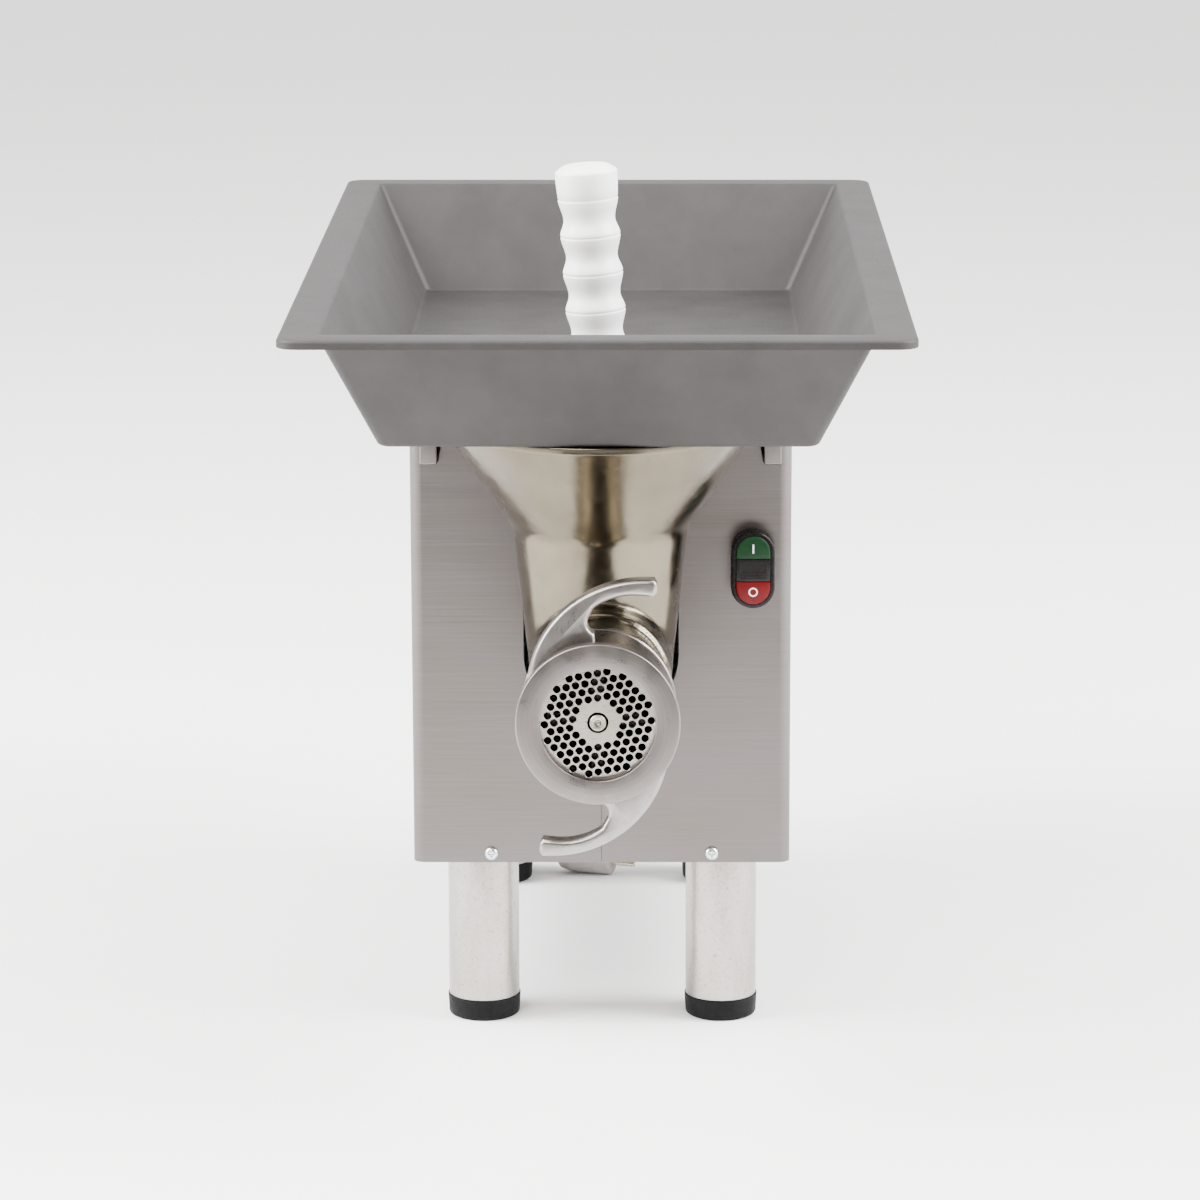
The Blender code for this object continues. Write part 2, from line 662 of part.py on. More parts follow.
def handle_outline(half_turn):
    """One swept arm of the ring, from the ring's flank over to its free tip."""
    outline = arc((0.0305, 0.0168), 0.0782, 180, 88, 10)
    outline += [(0.0375, 0.0950), (0.0396, 0.0920), (0.0392, 0.0860), (0.0370, 0.0833)]
    outline += arc((0.024, 0.039), 0.0453, 82, 126, 5)
    outline += arc((0.0005, 0.0655), 0.0076, 148, 248, 4)
    outline += [(0.001, 0.048), (-0.028, 0.036), (-0.042, 0.012)]
    return [(-x, -z) for x, z in outline] if half_turn else outline


def ring_nut(steel):
    """The ring that holds the plate, threaded inside, with two swept arms to turn it by."""
    at = (0, RING_FRONT, AXIS_Z)
    outline = [
        (0.030, 0),
        (RING_RADIUS - 0.0010, 0),
        (RING_RADIUS, 0.0010),
        (RING_RADIUS, 0.008),
        (RING_BODY_RADIUS, 0.010),
        (RING_BODY_RADIUS, RING_LENGTH),
        (0.030, RING_LENGTH),
    ]
    ring = turned("ring_nut", outline, steel, at, "Y", 40)
    for half_turn in (False, True):
        place = (0, RING_FRONT + HANDLE_SETBACK, AXIS_Z)
        shape = handle_outline(half_turn)
        arm = extruded(f"ring_arm_{int(half_turn)}", shape, HANDLE_THICKNESS, steel, place)
        join(ring, arm)
    bore = [
        (0, -0.01),
        (RING_OPENING, -0.01),
        (RING_OPENING, RING_LIP),
        (NOSE_RADIUS + GAP, RING_LIP),
        (NOSE_RADIUS + GAP, RING_LENGTH + 0.01),
        (0, RING_LENGTH + 0.01),
    ]
    cut(ring, turned("ring_bore_cut", bore, steel, at, "Y", 40))


def plate_holes():
    """Centres of the mincing holes: a triangular grid kept between two circles."""
    row = PLATE_PITCH * math.sqrt(3) / 2
    turn = PLATE_PATTERN_TURN
    reach = int(PLATE_PATTERN_OUTER / row) + 1
    for j in range(-reach, reach + 1):
        for i in range(-reach - 2, reach + 3):
            x, z = (i + 0.5 * (j % 2)) * PLATE_PITCH, j * row
            if PLATE_PATTERN_INNER < math.hypot(x, z) < PLATE_PATTERN_OUTER:
                yield x * math.cos(turn) - z * math.sin(turn), x * math.sin(turn) + z * math.cos(turn)


def cutting_plate(steel):
    front = RING_FRONT + RING_LIP + GAP
    plate = tube(
        "cutting_plate", PLATE_RADIUS, PLATE_CENTRE_HOLE, 0, PLATE_THICKNESS, steel, (0, front, AXIS_Z)
    )
    bm = bmesh.new()
    for x, z in plate_holes():
        ring = [bm.verts.new((px, -0.002, pz)) for px, pz in arc((x, z), PLATE_HOLE_RADIUS, 0, 300, 5)]
        face = bm.faces.new(ring)
        grown = bmesh.ops.extrude_face_region(bm, geom=[face])["geom"]
        moved = [v for v in grown if isinstance(v, bmesh.types.BMVert)]
        bmesh.ops.translate(bm, vec=(0, PLATE_THICKNESS + 0.004, 0), verts=moved)
    cut(plate, placed(bm, "plate_holes_cut", steel, (0, front, AXIS_Z)))


def knife_outline():
    """A hub with four straight blades, each a little ahead of the radius."""
    outline = []
    for k in range(4):
        turn = math.radians(90 * k)
        for x, z in ((0.0130, -0.0035), (KNIFE_RADIUS, -0.0045), (KNIFE_RADIUS, 0.0030), (0.0125, 0.0050)):
            outline.append((x * math.cos(turn) - z * math.sin(turn), x * math.sin(turn) + z * math.cos(turn)))
    return outline


def knife(steel):
    front = RING_FRONT + RING_LIP + PLATE_THICKNESS + 2 * GAP
    blade = extruded("knife", knife_outline(), KNIFE_THICKNESS, steel, (0, front, AXIS_Z))
    h = KNIFE_SQUARE / 2 + GAP
    hole = block("knife_square_cut", (-h, front - 0.01, AXIS_Z - h), (h, front + 0.02, AXIS_Z + h), steel)
    cut(blade, hole)
    return front + KNIFE_THICKNESS + GAP


def auger(casting, front):
    """A single screw flight round a core, with a square and a stud in front and a slotted journal behind."""
    back = BORE_END_Y - 2 * GAP
    length = back - front
    steps_per_turn = 14
    steps = round(length / AUGER_PITCH * steps_per_turn)
    section = arc((0, 0), AUGER_RADIUS, -12, 28, 2) + arc((0, 0), AUGER_CORE, 42, 335, 8)
    bm = bmesh.new()
    loops = []
    for i in range(steps + 1):
        turn = math.tau * i / steps_per_turn
        c, s = math.cos(turn), math.sin(turn)
        y = length * i / steps
        loops.append([bm.verts.new((x * c - z * s, y, x * s + z * c)) for x, z in section])
    count = len(section)
    for a, b in zip(loops, loops[1:]):
        for i in range(count):
            j = (i + 1) % count
            bm.faces.new((a[i], a[j], b[j]))
            bm.faces.new((a[i], b[j], b[i]))
    bm.faces.new(loops[0])
    bm.faces.new(loops[-1])
    screw = placed(bm, "auger", casting, (0, front, AXIS_Z))
    h = KNIFE_SQUARE / 2
    plate_front = RING_FRONT + RING_LIP + GAP
    square_front = plate_front + PLATE_THICKNESS + GAP
    low, high = (-h, square_front, AXIS_Z - h), (h, front + 0.006, AXIS_Z + h)
    join(screw, block("auger_square", low, high, casting))
    proud = plate_front - STUD_PIN_PROUD
    r = STUD_PIN_RADIUS
    outline = [(0, 0.004), (0.0016, 0.002), (0.0024, 0), (r - 0.0006, 0), (r, 0.0006)]
    outline += [(r, square_front + 0.004 - proud), (0, square_front + 0.004 - proud)]
    join(screw, turned("auger_stud", outline, casting, (0, proud, AXIS_Z), "Y", SMALL_ROUND))
    journal = (0, back - 0.004, AXIS_Z)
    join(screw, rod("auger_journal", AUGER_COLLAR_RADIUS, 0, AUGER_COLLAR_LENGTH, casting, journal))
    end = back - 0.004 + AUGER_COLLAR_LENGTH
    w = TONGUE_THICKNESS / 2 + GAP
    low, high = (-0.03, end - TONGUE_LENGTH - GAP, AXIS_Z - w), (0.03, end + 0.01, AXIS_Z + w)
    cut(screw, block("auger_slot_cut", low, high, casting))
    return end


# ---------------------------------------------------------------- gearbox
def gear_outline(teeth, phase):
    """Straight-sided teeth on the gear's pitch circle, a tooth's middle at the phase angle in degrees."""
    pitch_radius = MODULE * teeth / 2
    step = 360 / teeth
    thin = math.degrees(BACKLASH / pitch_radius) / 2
    tip, root = pitch_radius + 0.85 * MODULE, pitch_radius - 1.15 * MODULE
    points = []
    for k in range(teeth):
        middle = phase + k * step
        for radius, share in ((root, 0.40), (pitch_radius, 0.25), (tip, 0.11)):
            points.append((radius, middle - share * step + thin / 2))
        for radius, share in ((tip, 0.11), (pitch_radius, 0.25), (root, 0.40)):
            points.append((radius, middle + share * step - thin / 2))
    return [(r * math.cos(math.radians(a)), r * math.sin(math.radians(a))) for r, a in points]


def gear(name, teeth, phase, y, width, bore, z, steel, sides=SMALL_ROUND):
    """A gear, with a bore of as many sides as the shaft in it."""
    made = extruded(name, gear_outline(teeth, phase), width, steel, (0, y, z))
    if bore:
        cut(made, rod(f"{name}_bore_cut", bore, -0.01, width + 0.02, steel, (0, y, z), sides=sides))
    return made


def gearbox_outline(radius):
    spindle, lay = (0, AXIS_Z), (0, LAY_Z)
    return arc(spindle, radius, 0, 180, 14) + arc(lay, radius, 180, 360, 14)


def gearbox(casting, steel):
    front, cover_y = GEARBOX_FRONT, GEARBOX_COVER_Y
    housing = extruded(
        "gearbox_housing", gearbox_outline(GEARBOX_RADIUS), cover_y - GAP - front, casting, (0, front, 0)
    )
    foot_low = (-0.055, front + 0.006, CABINET_BOTTOM + BASE_THICKNESS + GAP)
    foot = block("gearbox_foot", foot_low, (0.055, cover_y - 0.006, LAY_Z - 0.030), casting)
    socket_length = front - SOCKET_FRONT + 0.004
    socket = rod("gearbox_socket", SOCKET_RADIUS, SOCKET_FRONT, socket_length, casting, (0, 0, AXIS_Z))
    join(housing, foot, socket)
    cavity_front = front + GEARBOX_FRONT_WALL
    cavity = extruded(
        "gearbox_cavity", gearbox_outline(GEARBOX_RADIUS - GEARBOX_WALL), 0.12, casting, (0, cavity_front, 0)
    )
    cut(housing, cavity)
    boss_length = SPINDLE_BOSS_LENGTH - GEARBOX_FRONT_WALL + 0.002
    boss_at = (0, cavity_front - 0.002, AXIS_Z)
    join(housing, rod("spindle_boss", SPINDLE_BEARING_RADIUS + 0.007, 0, boss_length, casting, boss_at))
    socket_end = front - 0.0016
    bores = [
        (0, SOCKET_FRONT - 0.01),
        (HUB_RADIUS + GAP, SOCKET_FRONT - 0.01),
        (HUB_RADIUS + GAP, socket_end),
        (SPINDLE_BEARING_RADIUS + GAP, socket_end),
        (SPINDLE_BEARING_RADIUS + GAP, front + 0.05),
        (0, front + 0.05),
    ]
    pocket_start = cavity_front - LAY_BEARING_WIDTH - 2 * GAP
    cut(
        housing,
        rod("lay_pocket_cut", LAY_BEARING_RADIUS + GAP, pocket_start, 0.03, casting, (0, 0, LAY_Z)),
        turned("housing_bore_cut", bores, casting, (0, 0, AXIS_Z), "Y"),
    )

    cover_outline = gearbox_outline(GEARBOX_RADIUS)
    cover = extruded("gearbox_cover", cover_outline, COVER_THICKNESS, casting, (0, cover_y, 0))
    flange_at = (0, cover_y + 0.006, AXIS_Z)
    join(cover, rod("motor_flange", MOTOR_RADIUS + 0.001, 0, COVER_THICKNESS - 0.005, casting, flange_at))
    pocket_depth = 0.01 + LAY_BEARING_WIDTH + 2 * GAP
    start = cover_y - 0.01
    cut(
        cover,
        rod("cover_lay_pocket", LAY_BEARING_RADIUS + GAP, start, pocket_depth, casting, (0, 0, LAY_Z)),
        rod("cover_motor_bore", MOTOR_BEARING_RADIUS + GAP, start, 0.04, casting, (0, 0, AXIS_Z)),
    )

    axis = (0, 0, AXIS_Z)
    inner = SPINDLE_RADIUS + GAP
    first = front + GAP
    second = front + SPINDLE_BOSS_LENGTH - SPINDLE_BEARING_WIDTH
    tube("spindle_bearing_front", SPINDLE_BEARING_RADIUS, inner, first, SPINDLE_BEARING_WIDTH, steel, axis)
    tube("spindle_bearing_rear", SPINDLE_BEARING_RADIUS, inner, second, SPINDLE_BEARING_WIDTH, steel, axis)
    lay = (0, 0, LAY_Z)
    inner = LAY_SHAFT_RADIUS + GAP
    lay_front = cavity_front - LAY_BEARING_WIDTH - GAP
    radius, width = LAY_BEARING_RADIUS, LAY_BEARING_WIDTH
    tube("lay_bearing_front", radius, inner, lay_front, width, steel, lay, sides=SMALL_ROUND)
    tube("lay_bearing_rear", radius, inner, cover_y + GAP, width, steel, lay, sides=SMALL_ROUND)
    return lay_front


def gear_train(steel, spindle_start, lay_front):
    """The spindle with its gear, and the lay shaft with the gear and pinion between motor and spindle."""
    gear_back = OUTPUT_GEAR_Y + OUTPUT_GEAR_WIDTH
    length = gear_back + 0.004 - spindle_start
    spindle = rod("output_spindle", SPINDLE_RADIUS, 0, length, steel, (0, spindle_start, AXIS_Z))
    w = TONGUE_THICKNESS / 2
    low = (-0.0125, spindle_start - TONGUE_LENGTH, AXIS_Z - w)
    join(spindle, block("spindle_tongue", low, (0.0125, spindle_start + 0.004, AXIS_Z + w), steel))
    bore = SPINDLE_RADIUS + GAP
    gear("output_gear", GEAR_TEETH, -90, OUTPUT_GEAR_Y, OUTPUT_GEAR_WIDTH, bore, AXIS_Z, steel, ROUND)

    lay_end = GEARBOX_COVER_Y + LAY_BEARING_WIDTH
    length = lay_end - lay_front
    shaft = rod("lay_shaft", LAY_SHAFT_RADIUS, lay_front, length, steel, (0, 0, LAY_Z), sides=SMALL_ROUND)
    half_tooth = 180 / PINION_TEETH
    lay_pinion = gear(
        "lay_pinion_teeth", PINION_TEETH, 90 + half_tooth, OUTPUT_GEAR_Y, OUTPUT_GEAR_WIDTH, 0, LAY_Z, steel
    )
    join(shaft, lay_pinion)
    gear("lay_gear", GEAR_TEETH, 90, LAY_GEAR_Y, LAY_GEAR_WIDTH, LAY_SHAFT_RADIUS + GAP, LAY_Z, steel)


# ---------------------------------------------------------------- motor
def motor(casting, steel, copper, plastic):
    axis = (0, 0, AXIS_Z)
    casing_front = GEARBOX_COVER_Y + COVER_THICKNESS + 0.001 + GAP
    inner = MOTOR_RADIUS - MOTOR_WALL
    tube("motor_casing", MOTOR_RADIUS, inner, casing_front, MOTOR_END - casing_front, casting, axis)
    tube("stator", inner - GAP, STATOR_BORE, CORE_FRONT, CORE_BACK - CORE_FRONT, copper, axis)
    shaft_fit = MOTOR_SHAFT_RADIUS + GAP
    tube("rotor_core", ROTOR_RADIUS, shaft_fit, CORE_FRONT, CORE_BACK - CORE_FRONT, steel, axis, sides=ROTOR_SIDES)
    shield_front = MOTOR_END + GAP
    bearing_bore = MOTOR_BEARING_RADIUS + GAP
    tube("motor_end_shield", MOTOR_RADIUS, bearing_bore, shield_front, SHIELD_THICKNESS, casting, axis)
    front_bearing = GEARBOX_COVER_Y + GAP
    radius, width = MOTOR_BEARING_RADIUS, MOTOR_BEARING_WIDTH
    tube("motor_bearing_front", radius, shaft_fit, front_bearing, width, steel, axis, sides=SMALL_ROUND)
    tube("motor_bearing_rear", radius, shaft_fit, shield_front, width, steel, axis, sides=SMALL_ROUND)

    pinion_front = LAY_GEAR_Y
    pinion_length = GEARBOX_COVER_Y - GAP - pinion_front
    shaft_start = pinion_front + pinion_length / 2
    shaft_end = FAN_Y + FAN_WIDTH + 0.004
    length = shaft_end - shaft_start
    shaft = rod("motor_shaft", MOTOR_SHAFT_RADIUS, shaft_start, length, steel, axis, sides=SMALL_ROUND)
    half_tooth = 180 / PINION_TEETH
    teeth = gear_outline(PINION_TEETH, -90 + half_tooth)
    pinion = extruded("motor_pinion_teeth", teeth, pinion_length, steel, (0, pinion_front, AXIS_Z))
    join(shaft, pinion)

    hub = tube("cooling_fan", 0.018, shaft_fit, FAN_Y, FAN_WIDTH, plastic, axis, sides=SMALL_ROUND)
    for k in range(FAN_BLADES):
        low, high = (0.014, FAN_Y, -0.0010), (FAN_RADIUS, FAN_Y + FAN_WIDTH, 0.0010)
        blade = block(f"fan_blade_{k}", low, high, plastic)
        blade.location = axis
        blade.rotation_euler = (0, math.tau * k / FAN_BLADES, 0)
        join(hub, blade)

    cover_front = shield_front + SHIELD_THICKNESS + GAP
    cover_inner = MOTOR_RADIUS - 0.0015
    outline = [
        (cover_inner, cover_front),
        (MOTOR_RADIUS, cover_front),
        (MOTOR_RADIUS, FAN_COVER_END),
        (0.030, FAN_COVER_END),
        (0.030, FAN_COVER_END - 0.0015),
        (cover_inner, FAN_COVER_END - 0.0015),
    ]
    turned("fan_cover", outline, steel, axis, "Y")

    bottom = CABINET_BOTTOM + BASE_THICKNESS + GAP
    half = CRADLE_WIDTH / 2
    start, end = CRADLE_Y[0], CRADLE_Y[1] + CRADLE_PLATE
    cradle = block("motor_cradle", (-half, start, bottom), (half, end, bottom + 0.003), steel)
    for i, y in enumerate(CRADLE_Y):
        rib = block(f"cradle_rib_{i}", (-half, y, bottom), (half, y + CRADLE_PLATE, AXIS_Z - 0.050), steel)
        join(cradle, rib)
    cut(cradle, rod("cradle_saddle_cut", MOTOR_RADIUS + GAP, start - 0.01, end - start + 0.02, steel, axis))


# ---------------------------------------------------------------- switch
def half_stadium(top, inset):
    """One end of the switch's window, from the lens's edge to the round end."""
    radius = WINDOW_WIDTH / 2 - inset
    edge = LENS_HEIGHT / 2 + GAP
    middle = WINDOW_HEIGHT / 2 - WINDOW_WIDTH / 2
    outline = [(radius, edge)] + arc((0, middle), radius, 0, 180, 10) + [(-radius, edge)]
    return outline if top else [(x, -z) for x, z in outline]


def switch(black, green, red):
    face = CABINET_FRONT - GAP - BEZEL_DEPTH
    at = (SWITCH_X, face, SWITCH_Z)
    bezel = extruded("switch_bezel", stadium(BEZEL_WIDTH, BEZEL_HEIGHT), BEZEL_DEPTH, black, at)
    edge = bezel.modifiers.new("rim", "BEVEL")
    edge.width = 0.0010
    edge.segments = 1
    edge.limit_method = "ANGLE"
    edge.angle_limit = math.radians(60)
    stem_at = (SWITCH_X, CABINET_FRONT - GAP - 0.002, SWITCH_Z)
    stem_length = SWITCH_STEM_LENGTH + 0.002
    join(bezel, rod("switch_stem", SWITCH_STEM_RADIUS, 0, stem_length, black, stem_at, sides=20))
    window_at = (SWITCH_X, face - 0.005, SWITCH_Z)
    window = stadium(WINDOW_WIDTH, WINDOW_HEIGHT, 10)
    cut(bezel, extruded("switch_window", window, WINDOW_DEPTH + 0.005, black, window_at))

    button_at = (SWITCH_X, face - BUTTON_PROUD, SWITCH_Z)
    extruded("start_button", half_stadium(True, GAP), BUTTON_THICKNESS, green, button_at)
    extruded("stop_button", half_stadium(False, GAP), BUTTON_THICKNESS, red, button_at)
    half_lens = WINDOW_WIDTH / 2 - GAP
    low = (SWITCH_X - half_lens, face - 0.0002, SWITCH_Z - LENS_HEIGHT / 2)
    high = (SWITCH_X + half_lens, face + WINDOW_DEPTH - GAP, SWITCH_Z + LENS_HEIGHT / 2)
    block("switch_lens", low, high, black)
    front = CABINET_FRONT + SWITCH_STEM_LENGTH
    low = (SWITCH_X - BLOCK_WIDTH / 2, front, SWITCH_Z - BLOCK_HEIGHT / 2)
    high = (SWITCH_X + BLOCK_WIDTH / 2, front + BLOCK_DEPTH, SWITCH_Z + BLOCK_HEIGHT / 2)
    block("switch_contact_block", low, high, black)


def capacitor(plastic):
    at = (CAPACITOR_X, CAPACITOR_Y, CABINET_BOTTOM + BASE_THICKNESS + GAP + CAPACITOR_RADIUS)
    rod("run_capacitor", CAPACITOR_RADIUS, 0, CAPACITOR_LENGTH, plastic, at, sides=20)


# ---------------------------------------------------------------- cord
def gland(black):
    """A nut on the rear panel and a tapered sleeve round the cord's first stretch."""
    nut = GLAND_NUT_LENGTH
    outline = [
        (0, -0.006),
        (GLAND_THREAD_RADIUS, -0.006),
        (GLAND_THREAD_RADIUS, 0),
        (GLAND_RADIUS, 0),
        (GLAND_RADIUS, nut),
        (GLAND_RADIUS * 0.72, nut + 0.001),
        (CORD_RADIUS + 0.0012, GLAND_TAIL),
        (0, GLAND_TAIL),
    ]
    turned("cord_gland", outline, black, (GLAND_X, CABINET_BACK + GAP, GLAND_Z), "Y", SMALL_ROUND)


def cord(black, grey, brass):
    start_y = CABINET_BACK + GLAND_TAIL + 2 * GAP
    lying = CORD_RADIUS + GAP
    x = GLAND_X
    landing = GAP + COIL_HEIGHT + lying
    down_y = COIL_Y - 0.031
    supply = [
        (x, start_y, GLAND_Z),
        (x, start_y + 0.010, GLAND_Z - 0.0003),
        (x, start_y + 0.025, GLAND_Z - 0.0050),
        (x, start_y + 0.037, GLAND_Z - 0.0160),
        (x, down_y - 0.0010, GLAND_Z - 0.0300),
        (x, down_y, GLAND_Z - 0.0500),
        (x, down_y, landing + 0.0480),
        (x, down_y + 0.0010, landing + 0.0240),
        (x, down_y + 0.0065, landing + 0.0115),
        (x, down_y + 0.0165, landing + 0.0030),
        (x, COIL_Y - 0.0020, landing),
    ]
    cord_piece("power_cord_supply", supply, black)
    inner, outer = COIL_RADIUS - 2 * CORD_RADIUS, COIL_RADIUS + 2 * CORD_RADIUS
    tube("cord_coil", outer, inner, GAP, COIL_HEIGHT, black, (COIL_X, COIL_Y, 0), "Z", 24)

    left = COIL_X - COIL_RADIUS - CORD_RADIUS
    x, y, z = PLUG_TAIL
    along_x, along_y = math.cos(PLUG_TURN), math.sin(PLUG_TURN)
    tail = [
        (left, COIL_Y - 0.0275, COIL_HEIGHT - 0.0035),
        (left, COIL_Y - 0.0470, COIL_HEIGHT - 0.0078),
        (left, COIL_Y - 0.0640, COIL_HEIGHT - 0.0150),
        (left, COIL_Y - 0.0800, lying + 0.0030),
        (left + 0.0001, COIL_Y - 0.0950, lying + 0.0005),
        (x - 0.0233, y + 0.0204, lying + 0.0020),
        (x - 0.0148, y + 0.0093, lying + 0.0060),
        (x - 0.0080 * along_x, y - 0.0080 * along_y + 0.0009, z - 0.0015),
        (x - 0.0004 * along_x, y - 0.0004 * along_y, z),
    ]
    cord_piece("power_cord_end", tail, black)

    r = PLUG_RADIUS
    outline = [(0, 0.0004), (CORD_RADIUS + 0.001, 0.0004), (0.0070, 0.018), (0.0085, 0.0190)]
    outline += [(r - 0.003, 0.022), (r, 0.030), (r, 0.060), (r - 0.0015, 0.064), (0, 0.064)]
    plug = turned("mains_plug", outline, grey, PLUG_TAIL, "X", 20)
    plug.rotation_euler = (0, 0, PLUG_TURN)
    for i, (side, rise, wide, tall) in enumerate(
        ((-0.0063, 0.003, 0.0016, 0.0065), (0.0063, 0.003, 0.0016, 0.0065), (0.0, -0.006, 0.0048, 0.0048))
    ):
        low = (0.060, side - wide / 2, rise - tall / 2)
        high = (0.082, side + wide / 2, rise + tall / 2)
        pin = block(f"plug_pin_{i}", low, high, brass)
        pin.location = PLUG_TAIL
        pin.rotation_euler = plug.rotation_euler
        join(plug, pin)


# ---------------------------------------------------------------- assembly
def main():
    clear_scene()
    brushed = material("brushed stainless sheet", (0.56, 0.54, 0.53), 0.32, 1.0)
    blasted = material("bead-blasted stainless sheet", (0.30, 0.29, 0.30), 0.55, 0.8)
    polished = material("polished cast stainless", (0.62, 0.58, 0.52), 0.16, 1.0)
    galvanised = material("galvanised steel tube", (0.60, 0.59, 0.57), 0.35, 1.0)
    machined = material("machined steel", (0.48, 0.47, 0.46), 0.30, 1.0)
    painted = material("grey painted iron", (0.22, 0.24, 0.26), 0.50)
    winding = material("varnished copper winding", (0.45, 0.20, 0.10), 0.45, 0.6)
    rubber = material("black rubber", (0.025, 0.025, 0.027), 0.60)
    black = material("black moulded plastic", (0.02, 0.02, 0.022), 0.38)
    green = material("green button plastic", (0.03, 0.17, 0.06), 0.40)
    red = material("red button plastic", (0.55, 0.03, 0.03), 0.40)
    white = material("white polyethylene", (0.86, 0.86, 0.84), 0.45)
    grey = material("grey moulded rubber", (0.50, 0.48, 0.47), 0.55)
    brass = material("nickel-plated brass", (0.70, 0.62, 0.45), 0.25, 1.0)

    cabinet(brushed)
    legs(galvanised, rubber)
    feed_tray(blasted)
    tray_brackets(brushed)
    stomper(white)
    grinder_head(polished)
    ring_nut(polished)
    cutting_plate(machined)
    auger_front = knife(machined)
    auger_end = auger(polished, auger_front)
    lay_front = gearbox(painted, machined)
    gear_train(machined, auger_end + GAP, lay_front)
    motor(painted, machined, winding, black)
    switch(black, green, red)
    capacitor(black)
    gland(black)
    cord(black, grey, brass)


main()
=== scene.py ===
# %% [markdown]
# # An electric meat grinder
#
# This lesson dresses a bench-top meat grinder: a brushed stainless cabinet on four tube legs, a polished
# cast head with its ring and plate, a folded feed tray and a white stomper. The working model is loaded
# first, as a frame that never changes. Every new piece takes its place from that frame, rides on one of its
# bodies, and stands for the plain solid that it hides.

# %% Load the frame
import math

import bmesh
import bpy
from mathutils import Matrix, Vector


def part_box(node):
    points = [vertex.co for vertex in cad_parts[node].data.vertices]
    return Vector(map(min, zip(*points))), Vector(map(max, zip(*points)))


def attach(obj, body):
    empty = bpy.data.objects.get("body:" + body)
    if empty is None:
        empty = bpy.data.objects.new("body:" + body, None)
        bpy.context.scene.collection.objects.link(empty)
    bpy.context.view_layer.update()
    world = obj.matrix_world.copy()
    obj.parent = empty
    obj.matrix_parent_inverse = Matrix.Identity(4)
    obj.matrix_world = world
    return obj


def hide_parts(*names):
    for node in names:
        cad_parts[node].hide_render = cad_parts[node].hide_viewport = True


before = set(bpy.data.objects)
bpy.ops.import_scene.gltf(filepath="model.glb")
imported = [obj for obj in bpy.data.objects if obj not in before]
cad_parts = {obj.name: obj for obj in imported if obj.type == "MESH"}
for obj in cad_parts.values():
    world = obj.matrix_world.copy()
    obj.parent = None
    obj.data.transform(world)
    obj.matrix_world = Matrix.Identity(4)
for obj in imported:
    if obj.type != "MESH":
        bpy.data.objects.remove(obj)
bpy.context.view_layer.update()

# %% [markdown]
# ## Sizes
#
# The sizes of the real machine are named once, in metres. What can be read from the frame is read from it:
# a box gives a node's lowest and highest corners, so the middle of a turned piece is its axis.

# %% Places read from the frame
GAP = 0.0003
PANEL_LOW, PANEL_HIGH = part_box("front_panel_right")
CABINET_FRONT = PANEL_LOW.y
CABINET_BOTTOM = PANEL_LOW.z
CABINET_TOP = PANEL_HIGH.z
CABINET_HALF = PANEL_HIGH.x
CABINET_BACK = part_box("rear_panel")[1].y
AXIS_Z = sum(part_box("cutting_plate")[side].z for side in (0, 1)) / 2
RING_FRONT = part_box("ring_nut")[0].y
HEAD_LOW, HEAD_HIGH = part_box("grinder_head")
LIP_RADIUS = (HEAD_HIGH.x - HEAD_LOW.x) / 2
FUNNEL_TOP = HEAD_HIGH.z
THROAT_Y = HEAD_HIGH.y - LIP_RADIUS
TRAY_LOW, TRAY_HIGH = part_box("feed_tray")
print("auger axis at", round(AXIS_Z, 4), "funnel radius", round(LIP_RADIUS, 4))

# %% [markdown]
# ## Camera
#
# A long lens from well back keeps the cabinet's edges nearly parallel. It looks down a little, so the floor
# of the tray and the top of the ring both show, and a small sideways shift leaves the machine off centre
# without turning the front away.

# %% Camera
LOOKING_DOWN = math.radians(12.8)
camera_data = bpy.data.cameras.new("camera")
camera_data.lens = 143.55
camera_data.sensor_width = 36
camera_data.shift_x = -0.0458
camera = bpy.data.objects.new("camera", camera_data)
camera.location = (0.038, -3.481, 1.060)
camera.rotation_euler = (math.pi / 2 - LOOKING_DOWN, 0, 0)
bpy.context.scene.collection.objects.link(camera)
bpy.context.scene.camera = camera
print("camera", tuple(camera.location))

# %% [markdown]
# ## One function for material nodes
#
# A finish is a small network of nodes. Colours are written as sRGB hex, as a paint card gives them, and are
# turned to linear light in one place. One function adds a node with its settings and its links, so that a
# network reads from its patterns at the top to its shader at the bottom.

# %% Colour and nodes
def linear(code):
    """An sRGB hex colour as linear red, green, blue and alpha."""
    channels = [int(code[i : i + 2], 16) / 255 for i in (1, 3, 5)]
    return (*[c / 12.92 if c <= 0.04045 else ((c + 0.055) / 1.055) ** 2.4 for c in channels], 1.0)


def add(tree, kind, inputs=None, **settings):
    """Adds a node. Settings are its own properties; an input is a value, or a socket to link from."""
    made = tree.nodes.new(kind)
    for name, value in settings.items():
        setattr(made, name, value)
    for socket, value in (inputs or {}).items():
        if isinstance(value, bpy.types.NodeSocket):
            tree.links.new(value, made.inputs[socket])
        else:
            made.inputs[socket].default_value = value
    return made


def finish(name, colour, roughness, **constants):
    """A material with its shader and constants set: returns it, its node tree and its shader."""
    made = bpy.data.materials.new(name)
    made.use_nodes = True
    shader = made.node_tree.nodes["Principled BSDF"]
    shader.inputs["Base Color"].default_value = linear(colour)
    shader.inputs["Roughness"].default_value = roughness
    for socket, value in constants.items():
        shader.inputs[socket.replace("_", " ")].default_value = value
    return made, made.node_tree, shader


def object_space(tree, scale=(1, 1, 1), location=(0, 0, 0)):
    """Coordinates in metres on the piece, moved and then stretched for a pattern."""
    coordinates = add(tree, "ShaderNodeTexCoord").outputs["Object"]
    return add(
        tree, "ShaderNodeMapping", {"Vector": coordinates, "Scale": scale, "Location": location}
    ).outputs["Vector"]


